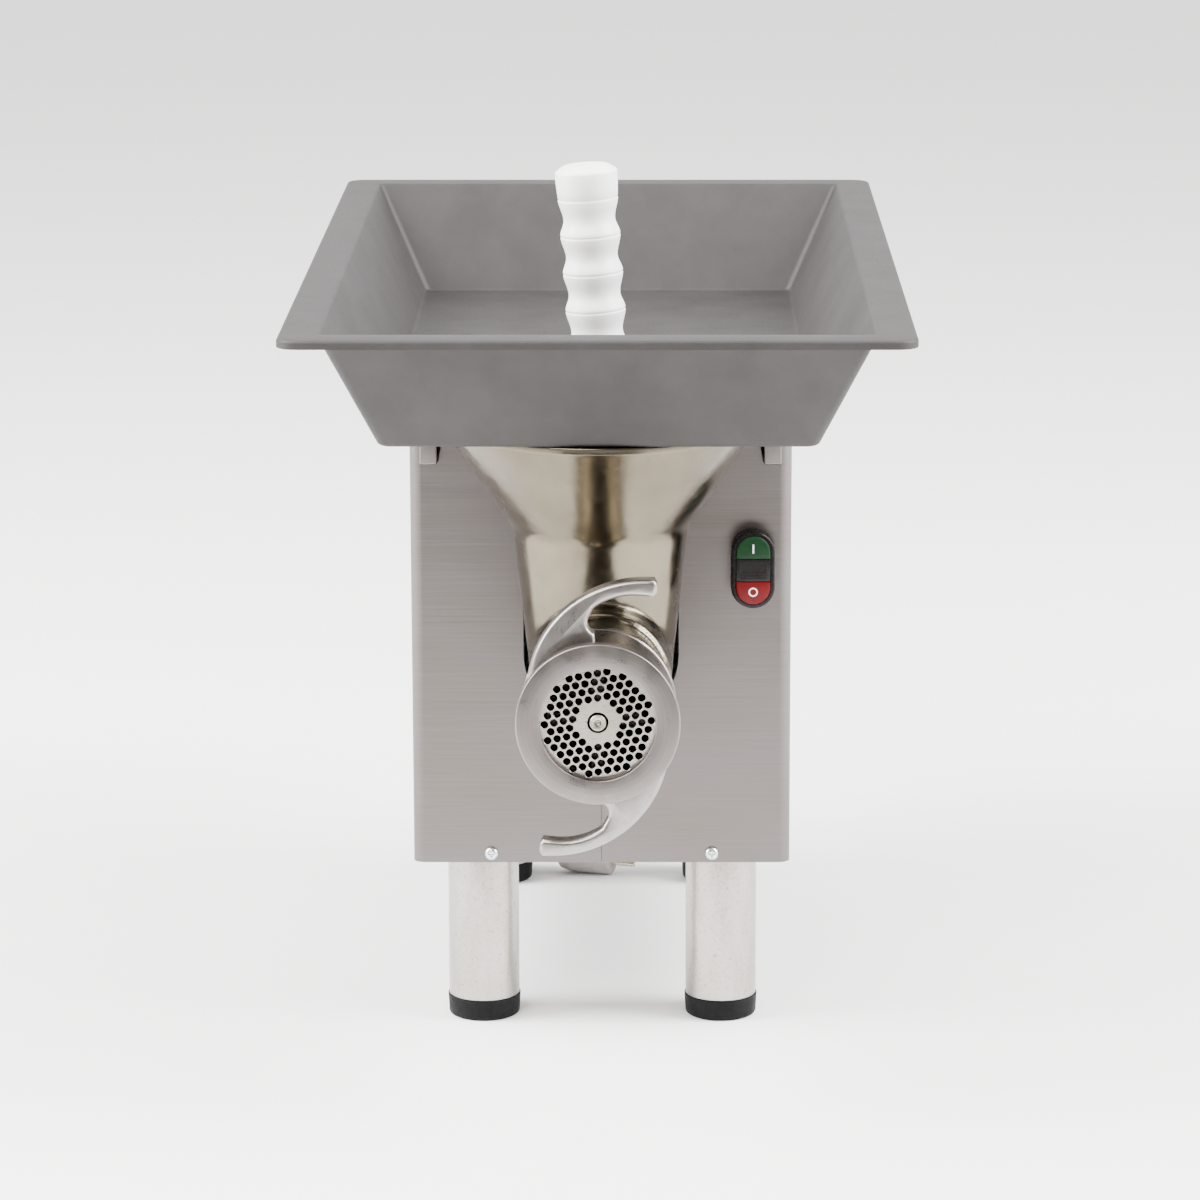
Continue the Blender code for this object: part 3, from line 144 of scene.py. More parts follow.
def blended(tree, factor, low, high):
    """A colour between two, by a pattern's value."""
    mix = add(tree, "ShaderNodeMix", {"Factor": factor}, data_type="RGBA")
    for socket, code in ((6, low), (7, high)):
        if isinstance(code, str):
            mix.inputs[socket].default_value = linear(code)
        else:
            tree.links.new(code, mix.inputs[socket])
    return mix.outputs[2]


def spread(tree, value, low, high, start=0.3, end=0.7):
    """Stretches a pattern's value from one range to another."""
    inputs = {"Value": value, "From Min": start, "From Max": end, "To Min": low, "To Max": high}
    return add(tree, "ShaderNodeMapRange", inputs).outputs["Result"]


def noise(tree, vector, size_mm, detail=2.0, rough=0.5):
    """Noise whose lumps are about a given size in millimetres, on coordinates in metres."""
    inputs = {"Vector": vector, "Scale": 1000 / size_mm, "Detail": detail, "Roughness": rough}
    return add(tree, "ShaderNodeTexNoise", inputs).outputs["Fac"]


def coloured(tree, shader, factor, low, high):
    """Gives a finish a colour between two, by a pattern from 0 to 1."""
    tree.links.new(blended(tree, factor, low, high), shader.inputs["Base Color"])


def roughened(tree, shader, pattern, low, high):
    """Gives a finish a roughness between two, by a pattern."""
    tree.links.new(spread(tree, pattern, low, high), shader.inputs["Roughness"])


def raised(tree, shader, height, depth_mm, strength=1.0, under=None):
    """Bump of a given depth, on top of another bump where there is one."""
    inputs = {"Height": height, "Distance": depth_mm / 1000, "Strength": strength}
    if under:
        inputs["Normal"] = under
    bump = add(tree, "ShaderNodeBump", inputs).outputs["Normal"]
    tree.links.new(bump, shader.inputs["Normal"])
    return bump


print("white paper is", [round(c, 3) for c in linear("#F5F5F2")])

# %% [markdown]
# ## One function for finished pieces
#
# Each piece starts as a bmesh. Before it becomes an object its doubles are merged and its faces are turned
# to point out, because a spin or a mirror can leave them inside out. The object itself stays at the origin,
# with its place in its mesh, so that a pattern on object coordinates is in true metres. The few shapes that
# come up again and again, such as an outline turned on a lathe, a block and a plate, get a function each.

# %% Finished pieces
def shaded(bm, name, finish_used, sharp=35):
    """A bmesh as an object, smooth except at its real edges."""
    bmesh.ops.remove_doubles(bm, verts=bm.verts, dist=1e-6)
    bmesh.ops.recalc_face_normals(bm, faces=bm.faces)
    mesh = bpy.data.meshes.new(name)
    bm.to_mesh(mesh)
    bm.free()
    mesh.materials.append(finish_used)
    smoothed(mesh, sharp)
    made = bpy.data.objects.new(name, mesh)
    bpy.context.scene.collection.objects.link(made)
    return made


def mounted(piece, body, slot, *nodes):
    """Puts a piece on its body and hides the nodes that it stands for; the slot is not used."""
    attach(piece, body)
    if nodes:
        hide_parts(*nodes)
    print(f"{piece.name}: {len(piece.data.polygons) if piece.type == 'MESH' else 1} faces on {body}")
    return piece


def verts_of(geometry):
    """The vertices among an operator's results."""
    return [item for item in geometry if isinstance(item, bmesh.types.BMVert)]


def edges_of(geometry):
    """The edges among an operator's results."""
    return [item for item in geometry if isinstance(item, bmesh.types.BMEdge)]


def rounded(bm, geom, offset, segments=3, affect="EDGES"):
    """Rounds edges, or the corners of a wire."""
    bmesh.ops.bevel(
        bm, geom=geom, offset=offset, offset_type="OFFSET", segments=segments, profile=0.5, affect=affect,
        material=-1,
    )


def wire(bm, points, closed=False):
    """A few vertices joined in a line, to be turned, filled or pulled. A point may end in a fillet radius."""
    verts = [bm.verts.new(point[:3]) for point in points]
    pairs = list(zip(verts, verts[1:])) + ([(verts[-1], verts[0])] if closed else [])
    for pair in pairs:
        bm.edges.new(pair)
    for vert, point in zip(verts, points):
        if len(point) > 3:
            soften(bm, vert, point[3])


def soften(bm, vert, radius, segments=5):
    """Rounds one corner of a wire with a true radius."""
    a, b = [(edge.other_vert(vert).co - vert.co).normalized() for edge in vert.link_edges]
    rounded(bm, [vert], radius / math.tan(a.angle(b) / 2), segments, "VERTICES")


UP_ALONG = {
    "X": Matrix.Rotation(math.pi / 2, 4, "Y"), "Y": Matrix.Rotation(-math.pi / 2, 4, "X"), "Z": Matrix(),
}


def spun(bm, outline, at=(0, 0, 0), along="Z", steps=64):
    """Turns an outline of (radius, distance, fillet) about an axis, as on a lathe."""
    start = bmesh.new()
    wire(start, [(point[0], 0, *point[1:]) for point in outline], closed=outline[0][0] > 0)
    bmesh.ops.spin(
        start, geom=start.verts[:] + start.edges[:], cent=(0, 0, 0), axis=(0, 0, 1), angle=math.tau,
        steps=steps, use_merge=True,
    )
    bmesh.ops.remove_doubles(start, verts=start.verts, dist=1e-6)
    bmesh.ops.transform(start, matrix=Matrix.Translation(at) @ UP_ALONG[along], verts=start.verts)
    bmesh.ops.recalc_face_normals(start, faces=start.faces)
    merge_into(bm, start)


def merge_into(bm, part):
    """Adds a finished part to a larger bmesh."""
    mesh = bpy.data.meshes.new("part")
    part.to_mesh(mesh)
    part.free()
    bm.from_mesh(mesh)
    bpy.data.meshes.remove(mesh)


def boxed(bm, low, high, edge, segments=3, turn=None):
    """A block between two corners with rounded edges, turned by a matrix if one is given."""
    part = bmesh.new()
    bmesh.ops.create_cube(part, size=1)
    low, high = Vector(low), Vector(high)
    bmesh.ops.scale(part, vec=high - low, verts=part.verts)
    bmesh.ops.translate(part, vec=(low + high) / 2, verts=part.verts)
    rounded(part, part.edges[:], edge, segments)
    if turn:
        bmesh.ops.transform(part, matrix=turn, verts=part.verts)
    merge_into(bm, part)


def pulled(bm, outline, depth, edge=0.0, segments=3, both=True):
    """Fills a closed outline of (x, z), pulls it back along Y and rounds its rims."""
    part = bmesh.new()
    wire(part, [(x, 0, z) for x, z in outline], closed=True)
    face = bmesh.ops.contextual_create(part, geom=part.edges[:])["faces"]
    grown = bmesh.ops.extrude_face_region(part, geom=face)["geom"]
    bmesh.ops.translate(part, vec=(0, depth, 0), verts=verts_of(grown))
    bmesh.ops.recalc_face_normals(part, faces=part.faces)
    if edge:
        front = min(v.co.y for v in part.verts)
        ends = (front, front + depth) if both else (front,)
        rims = [e for e in part.edges if any(all(abs(v.co.y - y) < 1e-6 for v in e.verts) for y in ends)]
        rounded(part, rims, edge, segments)
    merge_into(bm, part)


def arc(centre, radius, start, end, steps):
    """Points on an arc, in degrees, ends included."""
    angles = [math.radians(start + (end - start) * i / steps) for i in range(steps + 1)]
    return [(centre[0] + radius * math.cos(a), centre[1] + radius * math.sin(a)) for a in angles]


def smoothed(mesh, sharp=35):
    """Shades a mesh smooth, except where its faces meet at more than an angle in degrees."""
    mesh.shade_smooth()
    mesh.set_sharp_from_angle(angle=math.radians(sharp))


def joined(piece, other, operation):
    """Joins a closed piece to another or cuts it out, and removes it."""
    step = piece.modifiers.new(operation.lower(), "BOOLEAN")
    step.object, step.operation, step.solver = other, operation, "EXACT"
    apply_modifiers(piece)
    bpy.data.objects.remove(other)


def turned(name, finish_used, outline, at, along="Z", steps=64):
    """A piece that is one outline turned on a lathe."""
    bm = bmesh.new()
    spun(bm, outline, at, along, steps)
    return shaded(bm, name, finish_used)


def block(name, finish_used, low, high, edge, segments=3, turn=None):
    """A piece that is one rounded block."""
    bm = bmesh.new()
    boxed(bm, low, high, edge, segments, turn)
    return shaded(bm, name, finish_used)


def cut_from(piece, *cutters):
    """Cuts closed pieces out of another."""
    for cutter in cutters:
        joined(piece, cutter, "DIFFERENCE")
    smoothed(piece.data)


def apply_modifiers(piece):
    """Makes what the modifiers show the piece's own mesh."""
    evaluated = piece.evaluated_get(bpy.context.evaluated_depsgraph_get())
    mesh = bpy.data.meshes.new_from_object(evaluated)
    old = piece.data
    piece.modifiers.clear()
    piece.data = mesh
    bpy.data.meshes.remove(old)


print("tools ready")

# %% [markdown]
# ## Rubber and moulded plastics
#
# The lead is PVC over its cores, extruded, so it is black with a soft broad shine and a faint lengthwise
# drag. The feet are moulded rubber: duller, and grey where dust has settled. The switch is glossy ABS,
# straight from a polished mould. The stomper is turned and polished white polyethylene, a waxy plastic that
# lets a little light in. Its lathe lines are really 0.2 mm apart and rubber's skin is finer still: they are
# drawn at 0.9 and 0.7 mm, so that they show.

# %% Rubber and plastics
def extruded_pvc():
    """Extruded black PVC: an even soft shine, faintly dulled in patches."""
    made, tree, shader = finish("extruded_pvc", "#151516", 0.42, Specular_IOR_Level=0.35)
    place = object_space(tree)
    patches = noise(tree, place, 9, 3)
    roughened(tree, shader, patches, 0.36, 0.52)
    coloured(tree, shader, patches, "#121213", "#1B1B1C")
    raised(tree, shader, noise(tree, place, 0.8, 2), 0.03)
    return made


def moulded_rubber():
    """Moulded black rubber: matt, a fine skin, with grey dust low down and in specks."""
    made, tree, shader = finish("moulded_rubber", "#0A0A0B", 0.62, Specular_IOR_Level=0.12)
    place = object_space(tree)
    low_down = add(tree, "ShaderNodeSeparateXYZ", {"Vector": place}).outputs["Z"]
    dust = spread(tree, low_down, 0.55, 0.05, 0.0005, 0.007)
    specks = spread(tree, noise(tree, place, 1.6, 4, 0.7), 0.0, 1.0, 0.60, 0.74)
    amount = add(tree, "ShaderNodeMath", {0: dust, 1: specks}, operation="MULTIPLY").outputs[0]
    coloured(tree, shader, amount, "#09090A", "#4A4948")
    roughened(tree, shader, noise(tree, place, 6), 0.52, 0.70)
    raised(tree, shader, noise(tree, place, 0.7, 3), 0.05)
    return made


def glossy_abs(name, low, high, roughness, shine=0.15):
    """Injection-moulded ABS from a polished tool: even colour, a clear gloss and a very slight ripple."""
    made, tree, shader = finish(name, low, roughness, Specular_IOR_Level=shine)
    place = object_space(tree)
    cloud = noise(tree, place, 7, 3)
    coloured(tree, shader, spread(tree, cloud, 0.0, 1.0), low, high)
    roughened(tree, shader, noise(tree, place, 1.5, 3), roughness - 0.05, roughness + 0.09)
    raised(tree, shader, noise(tree, place, 2.5, 2), 0.02)
    return made


def turned_polyethylene():
    """Turned white polyethylene: waxy, a touch of light under the skin, and very fine lathe lines."""
    made, tree, shader = finish(
        "turned_polyethylene", "#FAFAF8", 0.34, Subsurface_Weight=0.25, Subsurface_Scale=0.004
    )
    shader.inputs["Subsurface Radius"].default_value = (1.0, 0.9, 0.8)
    place = object_space(tree)
    smudge = spread(tree, noise(tree, place, 16, 3), 0.0, 1.0)
    coloured(tree, shader, smudge, "#F6F6F4", "#FDFDFC")
    roughened(tree, shader, noise(tree, place, 8, 3), 0.28, 0.42)
    lathe_lines = noise(tree, object_space(tree, (0.02, 0.02, 1.0)), 0.9, 2)
    raised(tree, shader, lathe_lines, 0.02)
    return made


PVC = extruded_pvc()
RUBBER = moulded_rubber()
BLACK_ABS = glossy_abs("glossy_black_abs", "#0F0C0D", "#161213", 0.26)
LENS_ABS = glossy_abs("glossy_grey_abs", "#141213", "#1A1718", 0.30)
GREEN_ABS = glossy_abs("glossy_green_abs", "#0B2A14", "#103319", 0.32)
RED_ABS = glossy_abs("glossy_red_abs", "#560609", "#600A0F", 0.32)
GREY_PVC = glossy_abs("moulded_grey_pvc", "#8E8785", "#98918F", 0.50, 0.4)
PRINT = glossy_abs("white_marking_ink", "#E9E9E6", "#F2F2EF", 0.45, 0.4)
POLYETHYLENE = turned_polyethylene()
print("plastics:", [m.name for m in (PVC, RUBBER, BLACK_ABS, GREEN_ABS, RED_ABS, POLYETHYLENE)])

# %% [markdown]
# ## The mains lead
#
# The lead comes first, because it takes the most room. It is a three-core flex of 7.5 mm that leaves the
# back low down, bends under its own weight and lands on a coil. A loose pile of turns could be simulated,
# but a stored lead is wound by hand into two layers, so its centreline is worked out here: down the inner
# layer, across the floor, and up the outer one. The tail goes under the cabinet to the plug.

# %% Route of the lead
CORD_RADIUS = 0.00375
GLAND_Z = 0.160
GLAND_TAIL = 0.038
COIL_X, COIL_Y = -0.0385, 0.342
COIL_RADIUS = 0.042
COIL_HEIGHT = 3.5 * 0.0076
GLAND_X = COIL_X + COIL_RADIUS - CORD_RADIUS
PLUG_TURN = math.radians(-15)
PLUG_TAIL = (-0.0570, 0.2127, 0.0160)
LYING = CORD_RADIUS + GAP
LANDING = GAP + COIL_HEIGHT + LYING


def supply_route():
    """Out of the gland, over and down onto the coil."""
    y, down_y = CABINET_BACK + GLAND_TAIL + 2 * GAP, COIL_Y - 0.031
    return [
        (GLAND_X, y, GLAND_Z),
        (GLAND_X, y + 0.010, GLAND_Z - 0.0003),
        (GLAND_X, y + 0.025, GLAND_Z - 0.0050),
        (GLAND_X, y + 0.037, GLAND_Z - 0.0160),
        (GLAND_X, down_y - 0.0010, GLAND_Z - 0.0300),
        (GLAND_X, down_y, GLAND_Z - 0.0500),
        (GLAND_X, down_y, LANDING + 0.0480),
        (GLAND_X, down_y + 0.0010, LANDING + 0.0240),
        (GLAND_X, down_y + 0.0065, LANDING + 0.0115),
        (GLAND_X, down_y + 0.0165, LANDING + 0.0030),
    ]


def coil_route(per_turn=16, down_turns=3.0, across_turns=0.5, up_turns=2.0):
    """Down the inner layer, out across the floor and up the outer layer."""
    inner, outer = COIL_RADIUS - CORD_RADIUS, COIL_RADIUS + CORD_RADIUS
    top = COIL_HEIGHT - 0.0035
    points = []
    for i in range(round((down_turns + across_turns + up_turns) * per_turn) + 1):
        turn = i / per_turn
        down = min(turn / down_turns, 1)
        across = min(max((turn - down_turns) / across_turns, 0), 1)
        up = max((turn - down_turns - across_turns) / up_turns, 0)
        radius = inner + (outer - inner) * math.sin(across * math.pi / 2)
        z = LANDING + (LYING - LANDING) * down + (top - LYING) * up
        angle = math.tau * turn
        points.append((COIL_X + radius * math.cos(angle), COIL_Y + radius * math.sin(angle), z))
    return points


def tail_route():
    """Off the coil, down to the floor and up into the plug."""
    left = COIL_X - COIL_RADIUS - CORD_RADIUS
    x, y, z = PLUG_TAIL
    along_x, along_y = math.cos(PLUG_TURN), math.sin(PLUG_TURN)
    return [
        (left, COIL_Y - 0.0275, COIL_HEIGHT - 0.0035),
        (left, COIL_Y - 0.0470, COIL_HEIGHT - 0.0078),
        (left, COIL_Y - 0.0640, COIL_HEIGHT - 0.0150),
        (left, COIL_Y - 0.0800, LYING + 0.0030),
        (left + 0.0001, COIL_Y - 0.0950, LYING + 0.0005),
        (x - 0.0233, y + 0.0204, LYING + 0.0020),
        (x - 0.0148, y + 0.0093, LYING + 0.0060),
        (x - 0.0080 * along_x, y - 0.0080 * along_y + 0.0009, z - 0.0015),
        (x - 0.0004 * along_x, y - 0.0004 * along_y, z),
    ]


def smooth_route(points, steps):
    """A Catmull-Rom curve through the points."""
    p = [Vector(q) for q in points]
    p = [2 * p[0] - p[1], *p, 2 * p[-1] - p[-2]]
    route = []
    for a, b, c, d in zip(p, p[1:], p[2:], p[3:]):
        for i in range(steps):
            t = i / steps
            cubic = 3 * b - a - 3 * c + d
            route.append(0.5 * (2 * b + (c - a) * t + (2 * a - 5 * b + 4 * c - d) * t**2 + cubic * t**3))
    return [*route, p[-2]]


route = smooth_route(supply_route() + coil_route() + tail_route(), 3)

# %% [markdown]
# ### Plug and strain relief
#
# The plug is moulded onto the lead in grey PVC: a tapered tail with grooves that let it bend, a round body
# to grip, and three plated pins. The strain relief at the cabinet is a hexagon nut and a ribbed sleeve that
# narrows to the lead, so the lead can't kink where it leaves the metal. A nylon tie holds the coil: one
# rounded block cut out of another leaves its loop, which is simpler than bending a strip round.

# %% Lead, plug and strain relief
def lead():
    """The lead as a curve, thick and round, along its route."""
    curve = bpy.data.curves.new("mains_lead", "CURVE")
    curve.dimensions = "3D"
    curve.bevel_depth = CORD_RADIUS
    curve.bevel_resolution = 6
    curve.use_fill_caps = True
    spline = curve.splines.new("POLY")
    spline.points.add(len(route) - 1)
    for point, place in zip(spline.points, route):
        point.co = (*place, 1)
    curve.materials.append(PVC)
    made = bpy.data.objects.new("mains_lead", curve)
    bpy.context.scene.collection.objects.link(made)
    return mounted(made, "machine", "cord_rubber", "power_cord_supply", "cord_coil", "power_cord_end")


def plug():
    """A moulded plug with a grooved tail, lying on the floor under the cabinet."""
    bm = bmesh.new()
    outline = [(0, 0.0004), (0.0048, 0.0004, 0.0006)]
    for groove in range(4):
        z = 0.0036 + 0.0034 * groove
        radius = 0.0052 + 0.0005 * groove
        outline += [(radius, z, 0.0004), (radius - 0.0011, z + 0.0003, 0.0003)]
        outline += [(radius - 0.0010, z + 0.0016, 0.0003)]
    outline += [(0.0085, 0.0190, 0.0015), (0.0128, 0.0218, 0.004), (0.0150, 0.0300, 0.004)]
    outline += [(0.0155, 0.0520, 0.004), (0.0155, 0.0625, 0.0016), (0.0140, 0.0640, 0.0004), (0, 0.0640)]
    spun(bm, outline, along="X", steps=48)
    bmesh.ops.transform(bm, matrix=plug_place(), verts=bm.verts)
    body = mounted(shaded(bm, "plug_body", GREY_PVC), "machine", "plug_rubber", "mains_plug")
    bm = bmesh.new()
    for side in (-0.0063, 0.0063):
        boxed(bm, (0.0630, side - 0.0008, -0.0002), (0.0820, side + 0.0008, 0.0062), 0.0005, 3, plug_place())
    part = bmesh.new()
    outline = [(0, 0.0630), (0.0024, 0.0630), (0.0024, 0.0820, 0.0012), (0, 0.0820)]
    spun(part, outline, (0, 0, -0.006), "X", 24)
    bmesh.ops.transform(part, matrix=plug_place(), verts=part.verts)
    merge_into(bm, part)
    return body, bm


def plug_place():
    """Where the plug's tail starts, and the way it points."""
    return Matrix.Translation(PLUG_TAIL) @ Matrix.Rotation(PLUG_TURN, 4, "Z")


def strain_relief():
    """A hexagon nut against the rear panel, then a ribbed sleeve that narrows to the lead."""
    at = (GLAND_X, CABINET_BACK + GAP, GLAND_Z)
    bm = bmesh.new()
    outline = [(0.0042, 0.0105), (0.0098, 0.0105, 0.0012), (0.0094, 0.0140, 0.0006)]
    for rib in range(6):
        z = 0.0150 + 0.0034 * rib
        radius = 0.0082 - 0.0005 * rib
        outline += [(radius, z, 0.0004), (radius, z + 0.0019, 0.0004), (radius - 0.0013, z + 0.0022, 0.0003)]
        outline += [(radius - 0.0013, z + 0.0031, 0.0003)]
    outline += [(0.0050, 0.0365, 0.0006), (0.0048, 0.0378, 0.0004), (0.0042, 0.0378)]
    spun(bm, outline, at, "Y", 40)
    nut = bmesh.new()
    bmesh.ops.create_circle(nut, cap_ends=True, radius=0.0110, segments=6)
    grown = bmesh.ops.extrude_face_region(nut, geom=nut.faces[:])["geom"]
    bmesh.ops.translate(nut, vec=(0, 0, 0.0115), verts=verts_of(grown))
    rounded(nut, nut.edges[:], 0.0007)
    bmesh.ops.transform(nut, matrix=Matrix.Translation(at) @ UP_ALONG["Y"], verts=nut.verts)
    merge_into(bm, nut)
    return mounted(shaded(bm, "strain_relief", BLACK_ABS), "machine", "black_plastic", "cord_gland")


def cable_tie(turn=1.3, width=0.0042, thick=0.0011):
    """A nylon tie round both layers of the coil, with its little square lock on top."""
    inner, outer = COIL_RADIUS - 2 * CORD_RADIUS - 0.0006, COIL_RADIUS + 2 * CORD_RADIUS + 0.0006
    low, high = 0.0013, LANDING + CORD_RADIUS + 0.0006
    place = Matrix.Translation((COIL_X, COIL_Y, 0)) @ Matrix.Rotation(turn, 4, "Z")
    outside = (inner - thick, 0, 0.0002), (outer + thick, width, high + thick)
    tie = block("cable_tie", BLACK_ABS, *outside, 0.0010, 3, place)
    inside = (inner, -0.01, low), (outer, width + 0.01, high)
    cut_from(tie, block("cutter", BLACK_ABS, *inside, 0.0009, 3, place))
    bm = bmesh.new()
    bm.from_mesh(tie.data)
    boxed(bm, (inner + 0.003, -0.0012, high), (inner + 0.010, width + 0.0012, high + 0.004), 0.0006, 3, place)
    bm.to_mesh(tie.data)
    bm.free()
    return mounted(tie, "machine", "black_plastic")


lead_piece = lead()
plug_body, pins_mesh = plug()
relief = strain_relief()
tie = cable_tie()
print("plug at", PLUG_TAIL)

# %% [markdown]
# ## Steel in six finishes
#
# Nearly everything here is stainless steel, and the finish tells the pieces apart. The cabinet is brushed
# sheet, whose fine level scratches smear a reflection up and down. The tray is blasted sheet, grey and
# matt. The head is cast, ground and polished, so its reflections are soft and a little wavy. The ring is
# turned, and the plate is ground. The legs are tube with a pitted, speckled skin.
#
# Each pattern's size is in millimetres. A real hairline is about 0.1 mm wide and a blasted dimple about
# 0.2 mm. Both are too fine to show from here, so they are drawn at 0.9 and 1.1 mm, and very shallow.

# %% Sheet and tube
def brushed_stainless():
    """Brushed stainless sheet: level hairlines, and slow warm and cool drifts along them."""
    made, tree, shader = finish("brushed_stainless_sheet", "#67615F", 0.34, Metallic=1.0)
    hairline = noise(tree, object_space(tree, (0.012, 0.012, 1.0)), 0.9, 3, 0.6)
    streak = noise(tree, object_space(tree, (0.03, 0.03, 1.0)), 5.0, 3, 0.6)
    drift = noise(tree, object_space(tree, (0.4, 0.4, 1.0)), 60, 2)
    lines = blended(tree, spread(tree, hairline, 0.0, 1.0), "#5F5A57", "#706A68")
    warm = blended(tree, spread(tree, streak, 0.0, 0.6), lines, "#68615C")
    tone = blended(tree, spread(tree, drift, 0.0, 0.5), warm, "#6F6A6B")
    tree.links.new(tone, shader.inputs["Base Color"])
    roughened(tree, shader, hairline, 0.34, 0.46)
    fine = raised(tree, shader, hairline, 0.025, 0.40)
    raised(tree, shader, streak, 0.03, 0.20, fine)
    return made


def blasted_stainless():
    """Bead-blasted stainless sheet: matt grey, a fine even grain and faint clouds."""
    made, tree, shader = finish("bead_blasted_stainless", "#322F2F", 0.60, Metallic=0.5)
    place = object_space(tree)
    cloud = noise(tree, place, 38, 4, 0.6)
    grain = noise(tree, place, 1.1, 3, 0.7)
    tone = blended(tree, spread(tree, cloud, 0.0, 1.0, 0.35, 0.65), "#2E2C2B", "#363333")
    tone = blended(tree, spread(tree, grain, 0.0, 0.35, 0.35, 0.75), tone, "#413E3D")
    tree.links.new(tone, shader.inputs["Base Color"])
    roughened(tree, shader, grain, 0.52, 0.68)
    fine = raised(tree, shader, grain, 0.05, 0.6)
    raised(tree, shader, cloud, 0.35, 0.3, fine)
    return made


def pitted_tube():
    """Drawn steel tube with a pitted skin: bright, speckled and faintly rippled round its girth."""
    made, tree, shader = finish("pitted_steel_tube", "#B3ADA7", 0.30, Metallic=1.0)
    place = object_space(tree)
    pits = noise(tree, place, 2.2, 4, 0.75)
    ripple = noise(tree, object_space(tree, (1.0, 1.0, 0.25)), 9, 3)
    speck = spread(tree, pits, 0.0, 1.0, 0.56, 0.70)
    tone = blended(tree, spread(tree, ripple, 0.0, 0.6), "#B3ADA7", "#9F9992")
    coloured(tree, shader, speck, tone, "#857F77")
    roughened(tree, shader, pits, 0.24, 0.44)
    fine = raised(tree, shader, pits, 0.09, 0.6)
    raised(tree, shader, ripple, 0.5, 0.25, fine)
    return made


def zinc_screw():
    """Zinc-plated steel: bright, a little blue and slightly soft."""
    made, tree, shader = finish("zinc_plated_steel", "#D3D6D8", 0.26, Metallic=1.0)
    grain = noise(tree, object_space(tree), 0.9, 3)
    coloured(tree, shader, grain, "#C9CCCE", "#DADDDF")
    roughened(tree, shader, grain, 0.18, 0.36)
    raised(tree, shader, grain, 0.03)
    return made


BRUSHED = brushed_stainless()
BLASTED = blasted_stainless()
TUBE = pitted_tube()
ZINC = zinc_screw()
print("sheet and tube:", BRUSHED.name, BLASTED.name, TUBE.name, ZINC.name)

# %% [markdown]
# ### Castings, turned and ground steel
#
# A polished casting keeps a trace of the waves that the polishing wheel followed, so its bump is long and
# very shallow. A turned face keeps the tool's circles: their pattern is the distance from the auger's axis,
# found by a length on coordinates that are moved to that axis. Real tool circles are about 0.2 mm apart and
# grinding lines 0.1 mm. They are drawn at 1.3 and 0.8 mm, as coarse as they need to be to show.

# %% Castings, turned and ground steel
def polished_casting():
    """Polished cast stainless: a warm soft mirror, long shallow waves and a few dull patches."""
    made, tree, shader = finish("polished_cast_stainless", "#655D4F", 0.20, Metallic=1.0)
    place = object_space(tree)
    wave = noise(tree, place, 34, 2)
    patch = noise(tree, place, 12, 4, 0.6)
    wheel = noise(tree, object_space(tree, (1.0, 1.0, 0.06)), 1.2, 2)
    tone = blended(tree, spread(tree, wave, 0.0, 1.0), "#5F584B", "#6C6558")
    tree.links.new(tone, shader.inputs["Base Color"])
    roughened(tree, shader, patch, 0.16, 0.28)
    fine = raised(tree, shader, wheel, 0.010, 0.4)
    raised(tree, shader, wave, 1.0, 0.35, fine)
    return made


def from_auger_axis(tree):
    """Distance from the auger's axis, in metres."""
    flat = add(tree, "ShaderNodeVectorMath", {
        0: object_space(tree, (1, 0, 1), (0, 0, -AXIS_Z)),
    }, operation="LENGTH")
    return flat.outputs["Value"]


def turned_steel():
    """Turned stainless: satin, with the tool's fine circles round the axis."""
    made, tree, shader = finish("turned_stainless", "#76706E", 0.30, Metallic=1.0)
    out = from_auger_axis(tree)
    circles = noise(tree, add(tree, "ShaderNodeCombineXYZ", {"X": out}).outputs[0], 1.3, 2, 0.5)
    cloud = noise(tree, object_space(tree), 14, 3)
    tone = blended(tree, spread(tree, circles, 0.0, 1.0), "#6E6865", "#7F7977")
    coloured(tree, shader, spread(tree, cloud, 0, 0.4), tone, "#746E6A")
    roughened(tree, shader, cloud, 0.25, 0.38)
    raised(tree, shader, circles, 0.012, 0.4)
    return made


def satin_arm():
    """Ground cast arms: satin, with a fine upright grain and faint clouds."""
    made, tree, shader = finish("ground_cast_stainless", "#8F8A87", 0.28, Metallic=1.0)
    grain = noise(tree, object_space(tree, (1.0, 1.0, 0.12)), 0.8, 3)
    cloud = noise(tree, object_space(tree), 11, 3)
    coloured(tree, shader, spread(tree, cloud, 0, 1), "#898481", "#96918E")
    roughened(tree, shader, grain, 0.27, 0.35)
    raised(tree, shader, grain, 0.010, 0.4)
    return made


def ground_steel():
    """Surface-ground tool steel: warm light grey, with fine cross-hatched grinding."""
    made, tree, shader = finish("ground_tool_steel", "#A8A199", 0.30, Metallic=1.0)
    grain = noise(tree, object_space(tree, (0.08, 1.0, 1.0)), 0.8, 3)
    cloud = noise(tree, object_space(tree), 16, 3)
    coloured(tree, shader, spread(tree, cloud, 0, 1), "#A29B93", "#B0AAA2")
    roughened(tree, shader, grain, 0.25, 0.38)
    raised(tree, shader, grain, 0.02, 0.5)
    return made


CASTING = polished_casting()
TURNED = turned_steel()
ARM_STEEL = satin_arm()
GROUND = ground_steel()
print("solid steel:", CASTING.name, TURNED.name, ARM_STEEL.name, GROUND.name)

# %% [markdown]
# ### Finishes inside the cabinet
#
# The motor, gearbox and shafts hide behind the sheet and only show a little through the vents, but each
# keeps the finish that such a piece has: grey enamel on iron, oiled cut steel, varnished copper.

